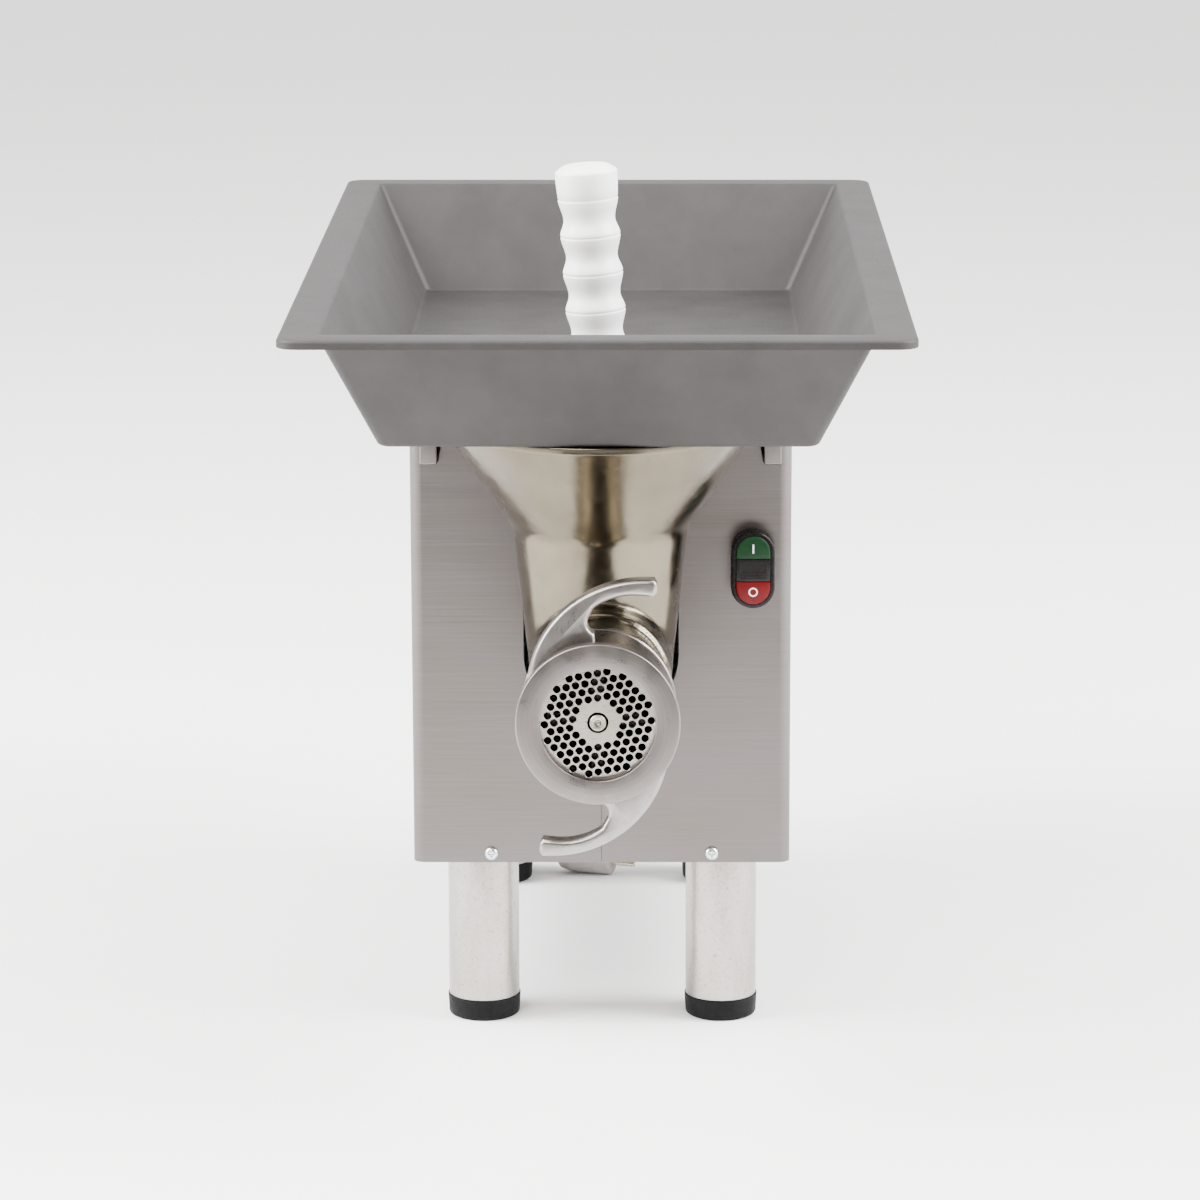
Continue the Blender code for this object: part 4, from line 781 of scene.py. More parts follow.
# %% Finishes inside the cabinet
def grainy(name, low, high, roughness, size_mm, depth_mm, metallic=0.0):
    """A plain finish with a grain of a given size and depth."""
    made, tree, shader = finish(name, low, roughness, Metallic=metallic)
    grain = noise(tree, object_space(tree), size_mm, 3, 0.6)
    coloured(tree, shader, spread(tree, grain, 0, 1), low, high)
    roughened(tree, shader, grain, roughness - 0.06, roughness + 0.08)
    raised(tree, shader, grain, depth_mm)
    return made


IRON = grainy("enamelled_cast_iron", "#7C8388", "#8B9297", 0.42, 3.0, 0.15)
CUT_STEEL = grainy("oiled_cut_steel", "#B0ACA8", "#C0BCB8", 0.26, 1.2, 0.02, 1.0)
COPPER = grainy("varnished_copper_wire", "#9A5A34", "#B06C42", 0.34, 1.4, 0.30, 0.8)
FAN_NYLON = grainy("moulded_black_nylon", "#262628", "#2E2E30", 0.46, 2.0, 0.04)
CAN = grainy("white_moulded_can", "#D9D8D4", "#E4E3DF", 0.40, 4.0, 0.04)
# Painted shade: a rough near-black finish for the walls of the plate's holes, in place of the shade inside
# them.
HOLE_WALL_SHADE = grainy("hole_wall_painted_shade", "#211F1E", "#2C2A28", 0.50, 1.0, 0.03, 1.0)
BRASS = grainy("nickel_plated_brass", "#C9BFA6", "#D5CCB6", 0.24, 1.5, 0.01, 1.0)
INSIDE = {
    IRON: ["gearbox_housing", "gearbox_cover", "motor_casing", "motor_end_shield"],
    CUT_STEEL: [
        "output_spindle", "output_gear", "lay_shaft", "lay_gear", "motor_shaft", "rotor_core", "knife",
        "spindle_bearing_front", "spindle_bearing_rear", "lay_bearing_front", "lay_bearing_rear",
        "motor_bearing_front", "motor_bearing_rear",
    ],
    ZINC: ["motor_cradle", "fan_cover"],
    COPPER: ["stator"],
    FAN_NYLON: ["cooling_fan", "switch_contact_block"],
    CAN: ["run_capacitor"],
    BRUSHED: ["base_plate", "top_panel", "left_side_panel", "right_side_panel"],
}
for inner_finish, names in INSIDE.items():
    for name in names:
        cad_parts[name].data.materials.clear()
        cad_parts[name].data.materials.append(inner_finish)
print("working nodes refinished:", sum(len(names) for names in INSIDE.values()))

pins = mounted(shaded(pins_mesh, "plug_pins", BRASS), "machine", "plug_rubber")

# %% [markdown]
# ## Floor and light
#
# The machine stands on a plain pale floor. Polished steel shows its surroundings more than itself, so the
# light is all large and soft: tall panels on each side and above them, a weaker one in front, and a studio
# that is white behind and darker towards the room in front. A low dark card stands in front too, as is often
# done with polished metal: it gives the cast and turned pieces their grey middles between two bright flanks.

# %% Floor and light
def floor():
    """A large pale floor, matt, with a barely visible grain."""
    bm = bmesh.new()
    bmesh.ops.create_grid(bm, x_segments=2, y_segments=2, size=12)
    made, tree, shader = finish("pale_studio_floor", "#F4F4F3", 0.75)
    grain = noise(tree, object_space(tree), 60, 2)
    coloured(tree, shader, grain, "#F3F3F2", "#F7F7F6")
    return shaded(bm, "floor", made)


def dark_flag():
    """A low dark card standing in front. It only shows in what faces forwards and reflects it."""
    made, tree, shader = finish("dark_felt_flag", "#161616", 0.9, Specular_IOR_Level=0.1)
    nap = noise(tree, object_space(tree), 6, 3)
    coloured(tree, shader, nap, "#121212", "#1B1B1B")
    card = block("dark_flag", made, (-0.62, -1.42, 0), (0.62, -1.40, 0.28), 0.002, 2)
    card.visible_camera = card.visible_diffuse = card.visible_shadow = False
    return card


def soft_light(name, place, aim, width, height, power, colour):
    """A rectangular soft light that faces a point."""
    data = bpy.data.lights.new(name, "AREA")
    data.shape = "RECTANGLE"
    data.size, data.size_y = width, height
    data.energy = power
    data.color = linear(colour)[:3]
    made = bpy.data.objects.new(name, data)
    made.location = place
    made.rotation_euler = (Vector(aim) - Vector(place)).to_track_quat("-Z", "Y").to_euler()
    bpy.context.scene.collection.objects.link(made)


def studio():
    """A white studio behind and beside the machine, and a darker room in front of it."""
    world = bpy.data.worlds.new("studio")
    world.use_nodes = True
    tree = world.node_tree
    direction = add(tree, "ShaderNodeTexCoord").outputs["Generated"]
    back = add(tree, "ShaderNodeSeparateXYZ", {"Vector": direction}).outputs["Y"]
    tone = blended(tree, spread(tree, back, 0.0, 1.0, -0.95, -0.10), ROOM_IN_FRONT, STUDIO_WHITE)
    background = tree.nodes["Background"]
    tree.links.new(tone, background.inputs["Color"])
    background.inputs["Strength"].default_value = STUDIO_STRENGTH
    bpy.context.scene.world = world


MIDDLE = (0, 0, 0.3)  # what every light faces
STUDIO_WHITE, ROOM_IN_FRONT, STUDIO_STRENGTH = "#FFFFFF", "#74716E", 2.2
floor()
dark_flag()
for name, place, width, height, power, colour in (
    ("left_side", (-3.0, -0.6, 2.2), 1.8, 3.0, 400, STUDIO_WHITE),
    ("right_side", (3.0, -0.6, 2.2), 1.8, 3.0, 380, STUDIO_WHITE),
    ("key", (-0.9, -2.2, 2.4), 1.4, 1.0, 90, "#FFFCF7"),
    ("upper_left", (-1.4, 0.0, 2.3), 1.2, 1.2, 75, STUDIO_WHITE),
    ("upper_right", (1.4, 0.0, 2.3), 1.2, 1.2, 75, STUDIO_WHITE),
):
    soft_light(name, place, MIDDLE, width, height, power, colour)
studio()

# %% [markdown]
# ## Cabinet front
#
# The front is two folded sheets that meet in the middle. Each starts as a bent line seen from above, with a
# true bend radius at the corner. It is pulled up to full height and thickened, and then the round gap for
# the head, the notch for the tray's hook and the screw hole are cut, as a laser would before folding.

# %% Cabinet front
SHEET = 0.0015
BEND_RADIUS = 0.008
BEND_RETURN = 0.012
KNEE_Z, KNEE_RADIUS, THROAT_RADIUS = 0.370, 0.061, 0.051
LIP_HEIGHT = 0.0045
LIP_BOTTOM = FUNNEL_TOP - LIP_HEIGHT
HEAD_GAP = 0.0010
NECK_GAP_RADIUS = 0.0548
HOOK_LOW, HOOK_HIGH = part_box("tray_bracket_right")
SCREW_X = 0.0785
SCREW_Z = CABINET_BOTTOM + 0.0066
SCREW_HOLE = 0.0028


def cone_cutter():
    """The funnel and throat, a little larger, to cut clearance round them."""
    above, lip = FUNNEL_TOP + 0.02, LIP_RADIUS + HEAD_GAP
    outline = [
        (0, AXIS_Z), (THROAT_RADIUS + HEAD_GAP, AXIS_Z), (KNEE_RADIUS + HEAD_GAP, KNEE_Z),
        (lip, LIP_BOTTOM), (lip, above), (0, above),
    ]
    return turned("cutter", BRUSHED, outline, (0, THROAT_Y, 0), steps=96)


def pulled_cutter(outline, y):
    """An outline in XZ pulled through the sheet."""
    bm = bmesh.new()
    pulled(bm, outline, 6 * SHEET)
    bmesh.ops.translate(bm, vec=(0, y, 0), verts=bm.verts)
    return shaded(bm, "cutter", BRUSHED)


def front_sheet(side, name):
    """One half of the front, folded back at its outer corner."""
    bm = bmesh.new()
    low = CABINET_BOTTOM
    wire(bm, [
        (side * GAP / 2, CABINET_FRONT, low),
        (side * CABINET_HALF, CABINET_FRONT, low, BEND_RADIUS),
        (side * CABINET_HALF, CABINET_FRONT + BEND_RADIUS + BEND_RETURN, low),
    ])
    grown = bmesh.ops.extrude_edge_only(bm, edges=bm.edges[:])["geom"]
    bmesh.ops.translate(bm, vec=(0, 0, CABINET_TOP - low), verts=verts_of(grown))
    bmesh.ops.recalc_face_normals(bm, faces=bm.faces)
    if sum(f.normal.y for f in bm.faces if abs(f.normal.y) > 0.99) > 0:
        bmesh.ops.reverse_faces(bm, faces=bm.faces)
    bmesh.ops.solidify(bm, geom=bm.faces[:], thickness=SHEET)
    made = shaded(bm, name, BRUSHED)
    before = CABINET_FRONT - 2 * SHEET
    neck = arc((0, AXIS_Z), NECK_GAP_RADIUS, 180, 360, 48)
    neck += [(NECK_GAP_RADIUS, AXIS_Z + 0.05), (-NECK_GAP_RADIUS, AXIS_Z + 0.05)]
    inner, outer = HOOK_LOW.x - 0.0028, HOOK_HIGH.x - 0.001
    hook_bottom = HOOK_LOW.z + 0.001
    notch = [
        (inner, CABINET_TOP + 0.01), (inner, hook_bottom + 0.013), (inner + 0.0024, hook_bottom),
        (outer, hook_bottom), (outer, CABINET_TOP + 0.01),
    ]
    hole = arc((SCREW_X, SCREW_Z), SCREW_HOLE, 0, 345, 23)
    cutters = [cone_cutter(), pulled_cutter(neck, before)]
    cutters += [pulled_cutter([(side * x, z) for x, z in shape], before) for shape in (notch, hole)]
    cut_from(made, *cutters)
    mounted(made, "machine", "brushed_panel", name.replace("sheet", "panel"))


def cross_head_screw(side, name):
    """A pan-head screw with a cross recess."""
    at = (side * SCREW_X, CABINET_FRONT - GAP, SCREW_Z)
    outline = [(0, -0.0030), (0.0030, -0.0029, 0.002), (0.0046, -0.0014, 0.0009), (0.0046, 0)]
    outline += [(0.0025, 0), (0.0025, 0.008, 0.0005), (0, 0.008)]
    screw = turned(name, ZINC, outline, at, "Y", 32)
    cross = []
    for wide, tall in ((0.0010, 0.0050), (0.0050, 0.0010)):
        low = (at[0] - wide / 2, at[1] - 0.0050, at[2] - tall / 2)
        high = (at[0] + wide / 2, at[1] - 0.0014, at[2] + tall / 2)
        cross.append(block("cutter", ZINC, low, high, 0.0003, 2))
    cut_from(screw, *cross)
    mounted(screw, "machine", "screw_steel", name.replace("cross_head", "panel"))


def tray_hook(hand):
    """A short angle under the tray that drops into the front's notch."""
    hook = block(f"tray_hook_{hand}", BRUSHED, *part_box(f"tray_bracket_{hand}"), 0.0012, 4)
    mounted(hook, "tray", "brushed_panel", f"tray_bracket_{hand}")


for side, hand in ((-1, "left"), (1, "right")):
    front_sheet(side, f"front_sheet_{hand}")
    cross_head_screw(side, f"cross_head_screw_{hand}")
for hand in ("left", "right"):
    tray_hook(hand)

# %% [markdown]
# ## Legs and feet
#
# Each leg is a length of tube on a rubber foot. Both are round, so they are turned: an outline of half the
# piece, with its fillets, is spun about the leg's axis. The outline's fillets matter more than its faces,
# because the eye finds the bright line on a rounded rim first.

# %% Legs and feet
TUBE_WALL = 0.0016
FOOT_FLOOR = 0.0070


def upright(node):
    """A standing round node's foot, radius, lowest and highest height."""
    low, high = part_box(node)
    return ((low.x + high.x) / 2, (low.y + high.y) / 2, 0), (high.x - low.x) / 2, low.z, high.z


def leg(corner):
    """A length of tube from its foot up to the base plate."""
    at, radius, low, _ = upright(f"leg_{corner}")
    top = CABINET_BOTTOM - GAP
    inside = radius - TUBE_WALL
    outline = [(inside, low), (radius, low, 0.0004), (radius, top, 0.0008), (inside, top)]
    tube = turned(f"leg_tube_{corner}", TUBE, outline, at, steps=72)
    mounted(tube, "machine", "leg_tube", f"leg_{corner}")


def foot(corner):
    """A rubber cap on the tube's end, hollow underneath so that it grips with its rim."""
    at, radius, low, high = upright(f"foot_{corner}")
    outline = [
        (0, low + 0.0010), (radius - 0.0090, low + 0.0010, 0.0008), (radius - 0.0085, low, 0.0005),
        (radius - 0.0008, low, 0.0026), (radius, high, 0.0005), (radius - 0.0006, high, 0.0002),
        (radius - 0.0006, low + FOOT_FLOOR), (0, low + FOOT_FLOOR),
    ]
    cap = turned(f"rubber_foot_{corner}", RUBBER, outline, at, steps=72)
    mounted(cap, "machine", "foot_rubber", f"foot_{corner}")


for corner in ("front_left", "front_right", "rear_left", "rear_right"):
    leg(corner)
    foot(corner)

# %% [markdown]
# ## Feed tray
#
# The tray is one sheet, folded four times on each side and welded at its corners. A subdivided box would
# lose its crisp folds, so it is built as loops instead: the section of the fold is a short list of points
# with bend radii, each point becomes a rounded rectangle, and the rectangles are bridged. The floor is
# filled round the funnel's hole, the hole's collar is pulled down, and the sheet then gets its thickness.

# %% Feed tray
TRAY_SHEET = 0.002
TRAY_FLOOR_TOP = FUNNEL_TOP + TRAY_SHEET + GAP
TRAY_FLANGE = 0.027
TRAY_WALL_RUN = 0.038
TRAY_LIP = 0.006
RIM_CORNER, FOLD_CORNER, FOLD_OPENING = 0.0142, 0.0035, 0.0020
HOLE_RADIUS = 0.093
# How far each step of the hole's collar goes in, and how far down.
COLLAR = ((0.0009, 0.0002), (0.0009, 0.0007), (0.0007, 0.0010), (0.0004, 0.0012), (0.0001, 0.0089))


def rounded_loop(bm, inset, z, radius):
    """A level rectangle with round corners, at an inset from the tray's rim."""
    low, high = (TRAY_LOW.x + inset, TRAY_LOW.y + inset), (TRAY_HIGH.x - inset, TRAY_HIGH.y - inset)
    part = bmesh.new()
    corners = [low, (high[0], low[1]), high, (low[0], high[1])]
    wire(part, [(x, y, z, radius) for x, y in corners], closed=True)
    merge_into(bm, part)


def fold_section():
    """The tray's section from its turned-down lip to its floor: inset, height and corner radius."""
    bm = bmesh.new()
    top, lean, fall = TRAY_HIGH.z, TRAY_FLANGE, 0.0002  # a level sheet never comes out quite level
    wire(bm, [
        (0, 0, top - TRAY_LIP), (0, 0, top, 0.0022), (lean, 0, top - fall, 0.0026),
        (lean + TRAY_WALL_RUN, 0, TRAY_FLOOR_TOP, 0.0035),
        (lean + TRAY_WALL_RUN + 0.006, 0, TRAY_FLOOR_TOP - fall),
    ])
    points = sorted((v.co.x, v.co.z) for v in bm.verts)
    bm.free()
    return [(x, z, corner_radius(x)) for x, z in points]


def corner_radius(inset):
    """The rim's corners are rounded off; the fold's are tighter and open a little towards the floor."""
    if inset < TRAY_FLANGE - 0.004:
        return max(RIM_CORNER - inset, FOLD_CORNER)
    return FOLD_CORNER + FOLD_OPENING * min(inset / (TRAY_FLANGE + TRAY_WALL_RUN), 1)


def feed_tray():
    """The folded sheet, with its collar turned down into the funnel."""
    bm = bmesh.new()
    loops = []
    for inset, z, radius in fold_section():
        known = set(bm.edges)
        rounded_loop(bm, inset, z, radius)
        loops.append([edge for edge in bm.edges if edge not in known])
    known = set(bm.edges)
    hole = Matrix.Translation((0, THROAT_Y, TRAY_FLOOR_TOP - 0.0002))
    bmesh.ops.create_circle(bm, segments=96, radius=HOLE_RADIUS + 0.0030, matrix=hole)
    rim = [edge for edge in bm.edges if edge not in known]
    for outer, inner in zip(loops, loops[1:]):
        bmesh.ops.bridge_loops(bm, edges=outer + inner)
    bmesh.ops.triangle_fill(bm, use_beauty=True, edges=loops[-1] + rim, normal=(0, 0, 1))
    for shrink, drop in COLLAR:
        grown = bmesh.ops.extrude_edge_only(bm, edges=rim)["geom"]
        rim, verts = edges_of(grown), verts_of(grown)
        radius = math.hypot(verts[0].co.x, verts[0].co.y - THROAT_Y)
        factor = (radius - shrink) / radius
        bmesh.ops.scale(bm, vec=(factor, factor, 1), space=Matrix.Translation((0, -THROAT_Y, 0)), verts=verts)
        bmesh.ops.translate(bm, vec=(0, 0, -drop), verts=verts)
    bmesh.ops.remove_doubles(bm, verts=bm.verts, dist=1e-6)
    bmesh.ops.recalc_face_normals(bm, faces=bm.faces)
    if sum(f.normal.z * f.calc_area() for f in bm.faces) < 0:
        bmesh.ops.reverse_faces(bm, faces=bm.faces)
    tray = shaded(bm, "folded_tray", BLASTED)
    skin = tray.modifiers.new("sheet", "SOLIDIFY")
    skin.thickness = TRAY_SHEET
    skin.offset = -1
    apply_modifiers(tray)
    smoothed(tray.data)
    return mounted(tray, "tray", "tray_sheet", "feed_tray")


tray = feed_tray()
print("tray box", [tuple(round(c, 4) for c in corner) for corner in tray.bound_box][0::6])

# %% [markdown]
# ## Stomper
#
# The stomper is turned from a white bar. Its grip is a row of finger grooves: from each ridge the outline
# runs down in a soft S to a waist and swells up again to the next ridge, which ends in a faint crease. Two
# half waves of a cosine make each groove, and the whole outline is spun and then leaned as it stands.

# %% Stomper
STOMPER_LEAN = math.radians(-3.8)
STOMPER_LENGTH = 0.3125
STOMPER_FOOT = (0.011, THROAT_Y, 0.3109)
RIDGE, WAIST, CAP, CAP_LENGTH = 0.02075, 0.0178, 0.0215, 0.022
PLUNGER, PLUNGER_LENGTH = 0.024, 0.045
GRIP_PITCH, GRIPS = 0.026, 7
WAIST_AT = 0.42


def groove(start, steps=14):
    """One finger groove, from the ridge under it to the next ridge, with a crease under that."""
    points = []
    for i in range(1, steps):
        u = i / steps
        wave = u / WAIST_AT if u < WAIST_AT else (1 - u) / (1 - WAIST_AT)
        radius = WAIST + (RIDGE - WAIST) * (1 + math.cos(math.pi * min(wave, 1))) / 2
        points.append((radius, start + GRIP_PITCH * u))
    top = start + GRIP_PITCH
    return points + [(RIDGE, top - 0.0012), (RIDGE - 0.0005, top - 0.0003), (RIDGE, top + 0.0007)]


def stomper():
    """The plunger, a plain shaft, the grip and its cap, leaned as the stomper stands."""
    first = STOMPER_LENGTH - CAP_LENGTH - GRIPS * GRIP_PITCH
    outline = [(0, 0), (PLUNGER, 0, 0.002), (PLUNGER, PLUNGER_LENGTH, 0.003)]
    outline += [(WAIST, PLUNGER_LENGTH + 0.006, 0.004)]
    outline += [(WAIST, first - 0.014), (WAIST + 0.0010, first - 0.008), (RIDGE - 0.0004, first - 0.001)]
    for i in range(GRIPS):
        outline += groove(first + GRIP_PITCH * i)
    outline += [(CAP - 0.0004, STOMPER_LENGTH - 0.016), (CAP, STOMPER_LENGTH - 0.010)]
    outline += [(CAP, STOMPER_LENGTH - 0.0035, 0.0022), (CAP - 0.006, STOMPER_LENGTH + 0.0006, 0.006)]
    outline += [(0, STOMPER_LENGTH + 0.0014)]
    bm = bmesh.new()
    spun(bm, outline, steps=72)
    place = Matrix.Translation(STOMPER_FOOT) @ Matrix.Rotation(STOMPER_LEAN, 4, "Y")
    bmesh.ops.transform(bm, matrix=place, verts=bm.verts)
    mounted(shaded(bm, "turned_stomper", POLYETHYLENE, 50), "stomper", "white_plastic", "stomper")


stomper()
print("stomper lean", round(math.degrees(STOMPER_LEAN), 1), "degrees")

# %% [markdown]
# ## Grinding head
#
# The head is one casting: a funnel and throat that stand over a level barrel. Two turned shapes give exact
# surfaces, but a casting has no sharp corner where they meet. So the two are joined, remeshed finely and
# smoothed, which rounds the joint; then every point away from the joint is pressed back onto the exact
# surface. The lip is turned by itself, because a remesh would blur its thin bright edge.

# %% Grinding head
WALL = 0.006
BARREL_RADIUS = 0.0497
NOSE_RADIUS = 0.0462
SHOULDER_Y = -0.284
HUB_RADIUS, HUB_END_Y = 0.036, -0.124
BARREL_END_Y = THROAT_Y + 0.040
BORE_RADIUS, BORE_END_Y, HUB_BORE_RADIUS = 0.0363, -0.166, 0.0203
NOSE_FRONT = RING_FRONT + 0.007
PLATE_RADIUS, PLATE_THICKNESS = 0.041, 0.0095
LIP_STRIP = 0.0010
FINE_SKIN = 0.0021


def funnel_radius(z):
    """Outside radius of the throat and funnel at a height."""
    if z < KNEE_Z:
        return THROAT_RADIUS + (KNEE_RADIUS - THROAT_RADIUS) * (z - AXIS_Z) / (KNEE_Z - AXIS_Z)
    return KNEE_RADIUS + (LIP_RADIUS - KNEE_RADIUS) * (z - KNEE_Z) / (LIP_BOTTOM - KNEE_Z)


def casting_shape():
    """The funnel, throat, barrel and hub joined and bored, with exact surfaces."""
    top, inside = FUNNEL_TOP - 0.0014, LIP_RADIUS - 0.0014
    foot_z = AXIS_Z - THROAT_RADIUS
    outline = [(0, foot_z), (THROAT_RADIUS, foot_z, THROAT_RADIUS * 0.9), (THROAT_RADIUS, AXIS_Z)]
    outline += [(KNEE_RADIUS, KNEE_Z, 0.014), (inside, LIP_BOTTOM + 0.0004), (inside, top), (0, top)]
    head = turned("polished_head", CASTING, outline, (0, THROAT_Y, 0), steps=128)
    shoulder, back, hub_end, bore_end = [
        y - NOSE_FRONT for y in (SHOULDER_Y, BARREL_END_Y, HUB_END_Y, BORE_END_Y)
    ]
    outline = [(0, 0), (NOSE_RADIUS, 0), (NOSE_RADIUS, shoulder, 0.001)]
    outline += [(BARREL_RADIUS, shoulder + 0.002, 0.002), (BARREL_RADIUS, back, 0.002)]
    outline += [(HUB_RADIUS, back + 0.006, 0.003), (HUB_RADIUS, hub_end), (0, hub_end)]
    joined(head, turned("barrel", CASTING, outline, (0, NOSE_FRONT, AXIS_Z), "Y", 128), "UNION")
    outline = [(0, AXIS_Z), (THROAT_RADIUS - WALL, AXIS_Z), (KNEE_RADIUS - WALL, KNEE_Z, 0.010)]
    outline += [(LIP_RADIUS - WALL, LIP_BOTTOM + 0.001), (LIP_RADIUS - WALL, FUNNEL_TOP), (0, FUNNEL_TOP)]
    funnel_bore = turned("cutter", CASTING, outline, (0, THROAT_Y, 0), steps=128)
    seat = PLATE_THICKNESS
    outline = [(0, -0.01), (PLATE_RADIUS + GAP, -0.01), (PLATE_RADIUS + GAP, seat), (BORE_RADIUS, seat)]
    outline += [(BORE_RADIUS, bore_end), (HUB_BORE_RADIUS, bore_end)]
    outline += [(HUB_BORE_RADIUS, hub_end + 0.01), (0, hub_end + 0.01)]
    auger_bore = turned("cutter", CASTING, outline, (0, NOSE_FRONT, AXIS_Z), "Y", 96)
    cut_from(head, funnel_bore, auger_bore)
    return head


def joint_weight(point):
    """0 on the joint between barrel and throat, 1 well away from it."""
    from_barrel = abs(math.hypot(point.x, point.z - AXIS_Z) - BARREL_RADIUS)
    from_throat = abs(math.hypot(point.x, point.y - THROAT_Y) - funnel_radius(point.z))
    share = (max(from_barrel, from_throat) - 0.0030) / 0.0060
    share = min(max(share, 0), 1)
    return share * share * (3 - 2 * share)


def grinding_head():
    """The casting with its joint rounded and every other surface exact."""
    exact = casting_shape()
    head = exact.copy()
    head.data = exact.data.copy()
    head.name = "polished_casting"
    bpy.context.scene.collection.objects.link(head)
    remesh = head.modifiers.new("fine skin", "REMESH")
    remesh.mode = "VOXEL"
    remesh.voxel_size = FINE_SKIN
    smooth = head.modifiers.new("soft joint", "SMOOTH")
    smooth.factor = 0.5
    smooth.iterations = 12
    apply_modifiers(head)
    group = head.vertex_groups.new(name="away from the joint")
    for vert in head.data.vertices:
        group.add([vert.index], joint_weight(vert.co), "REPLACE")
    press = head.modifiers.new("exact surface", "SHRINKWRAP")
    press.target = exact
    press.wrap_method = "NEAREST_SURFACEPOINT"
    press.vertex_group = group.name
    apply_modifiers(head)
    bpy.data.objects.remove(exact)
    head.vertex_groups.clear()
    smoothed(head.data, 50)
    mounted(head, "machine", "polished_casting", "grinder_head")


def funnel_lip():
    """The funnel's thin rim, turned with a small round on each edge."""
    low = LIP_BOTTOM - LIP_STRIP
    outline = [
        (LIP_RADIUS - WALL, low), (funnel_radius(low) + 0.0002, low), (LIP_RADIUS, LIP_BOTTOM, 0.0008),
        (LIP_RADIUS, FUNNEL_TOP, 0.0012), (LIP_RADIUS - WALL, FUNNEL_TOP, 0.0012),
    ]
    lip = turned("funnel_lip", CASTING, outline, (0, THROAT_Y, 0), steps=160)
    mounted(lip, "machine", "polished_casting")


grinding_head()
funnel_lip()

# %% [markdown]
# ## Ring with its two arms
#
# The ring is turned from bar and screws onto the barrel, and two swept arms are cast on to turn it by hand.
# The ring is spun. One arm is drawn as an outline of arcs, filled, pulled to its thickness and given a
# generous round on both faces; the other is the same arm turned half a turn about the axis.

# %% Ring with its two arms
RING_RADIUS, RING_BODY, RING_LENGTH = 0.055, 0.0515, 0.062
RING_OPENING, RING_LIP = 0.0387, 0.006
ARM_SETBACK, ARM_THICKNESS = 0.015, 0.015


def arm_outline():
    """One swept arm, from the ring's flank over to its free tip."""
    outline = arc((0.0305, 0.0168), 0.0782, 180, 88, 28)
    outline += [(0.0375, 0.0950), (0.0396, 0.0920), (0.0392, 0.0860), (0.0370, 0.0833)]
    outline += arc((0.024, 0.039), 0.0453, 82, 126, 14)
    outline += arc((0.0005, 0.0655), 0.0076, 148, 248, 10)
    return outline + arc((0, 0), RING_BODY - 0.0020, 92, 163, 14)


def ring_nut():
    """The ring, with a wider rim in front and a bead behind, and its two arms."""
    outline = [
        (RING_OPENING, 0, 0.0009), (RING_RADIUS, 0, 0.0012), (RING_RADIUS, 0.0080, 0.0008),
        (RING_BODY, 0.0092, 0.0008), (RING_BODY, RING_LENGTH - 0.0060, 0.0006),
        (RING_BODY + 0.0010, RING_LENGTH - 0.0050, 0.0008), (RING_BODY + 0.0010, RING_LENGTH, 0.0016),
        (NOSE_RADIUS + GAP, RING_LENGTH), (NOSE_RADIUS + GAP, RING_LIP), (RING_OPENING, RING_LIP, 0.0006),
    ]
    ring = turned("turned_ring", TURNED, outline, (0, RING_FRONT, AXIS_Z), "Y", 128)
    mounted(ring, "ring", "machined_steel", "ring_nut")
    bm = bmesh.new()
    for turn in (0, math.pi):
        part = bmesh.new()
        pulled(part, arm_outline(), ARM_THICKNESS, 0.0030, 5)
        place = Matrix.Translation((0, RING_FRONT + ARM_SETBACK, AXIS_Z)) @ Matrix.Rotation(turn, 4, "Y")
        bmesh.ops.transform(part, matrix=place, verts=part.verts)
        merge_into(bm, part)
    mounted(shaded(bm, "swept_arms", ARM_STEEL, 60), "ring", "machined_steel")


ring_nut()
print("ring front at", round(RING_FRONT, 4))

# %% [markdown]
# ## Cutting plate
#
# The plate is a ground disc with a triangular grid of drilled holes, each with a small chamfer that catches
# the light. The face is filled once between its rim and all its hole circles, the circles are pulled back
# in two steps, chamfer and wall, and the half plate is mirrored to make its back. The walls get a second,
# rougher finish that is near black: painted shade, for the little light that finds its way into a hole.

# %% Cutting plate
HOLE_PITCH, MINCE_HOLE = 0.0064, 0.0026
PATTERN_TURN = math.radians(11.2)
PATTERN_INNER, PATTERN_OUTER = 0.0142, 0.0358
CENTRE_HOLE, HOLE_CHAMFER, RIM_CHAMFER = 0.0071, 0.00014, 0.0006


def mincing_holes():
    """Centres of the holes: a triangular grid kept between two circles."""
    row = HOLE_PITCH * math.sqrt(3) / 2
    reach = int(PATTERN_OUTER / row) + 1
    for j in range(-reach, reach + 1):
        for i in range(-reach - 2, reach + 3):
            centre = Vector(((i + 0.5 * (j % 2)) * HOLE_PITCH, 0, j * row))
            if PATTERN_INNER < centre.length < PATTERN_OUTER:
                yield Matrix.Rotation(-PATTERN_TURN, 3, "Y") @ centre


def circle_edges(bm, centre, radius, segments):
    """A circle that faces the front, as its new edges."""
    known = set(bm.edges)
    place = Matrix.Translation(centre) @ Matrix.Rotation(math.pi / 2, 4, "X")
    bmesh.ops.create_circle(bm, segments=segments, radius=radius, matrix=place)
    return [edge for edge in bm.edges if edge not in known]


def stepped_in(bm, edges, centre, factor, depth):
    """Pulls a circle back, scaled about its centre."""
    grown = bmesh.ops.extrude_edge_only(bm, edges=edges)["geom"]
    verts = verts_of(grown)
    bmesh.ops.scale(bm, vec=(factor, 1, factor), space=Matrix.Translation(-Vector(centre)), verts=verts)
    bmesh.ops.translate(bm, vec=(0, depth, 0), verts=verts)
    return edges_of(grown)


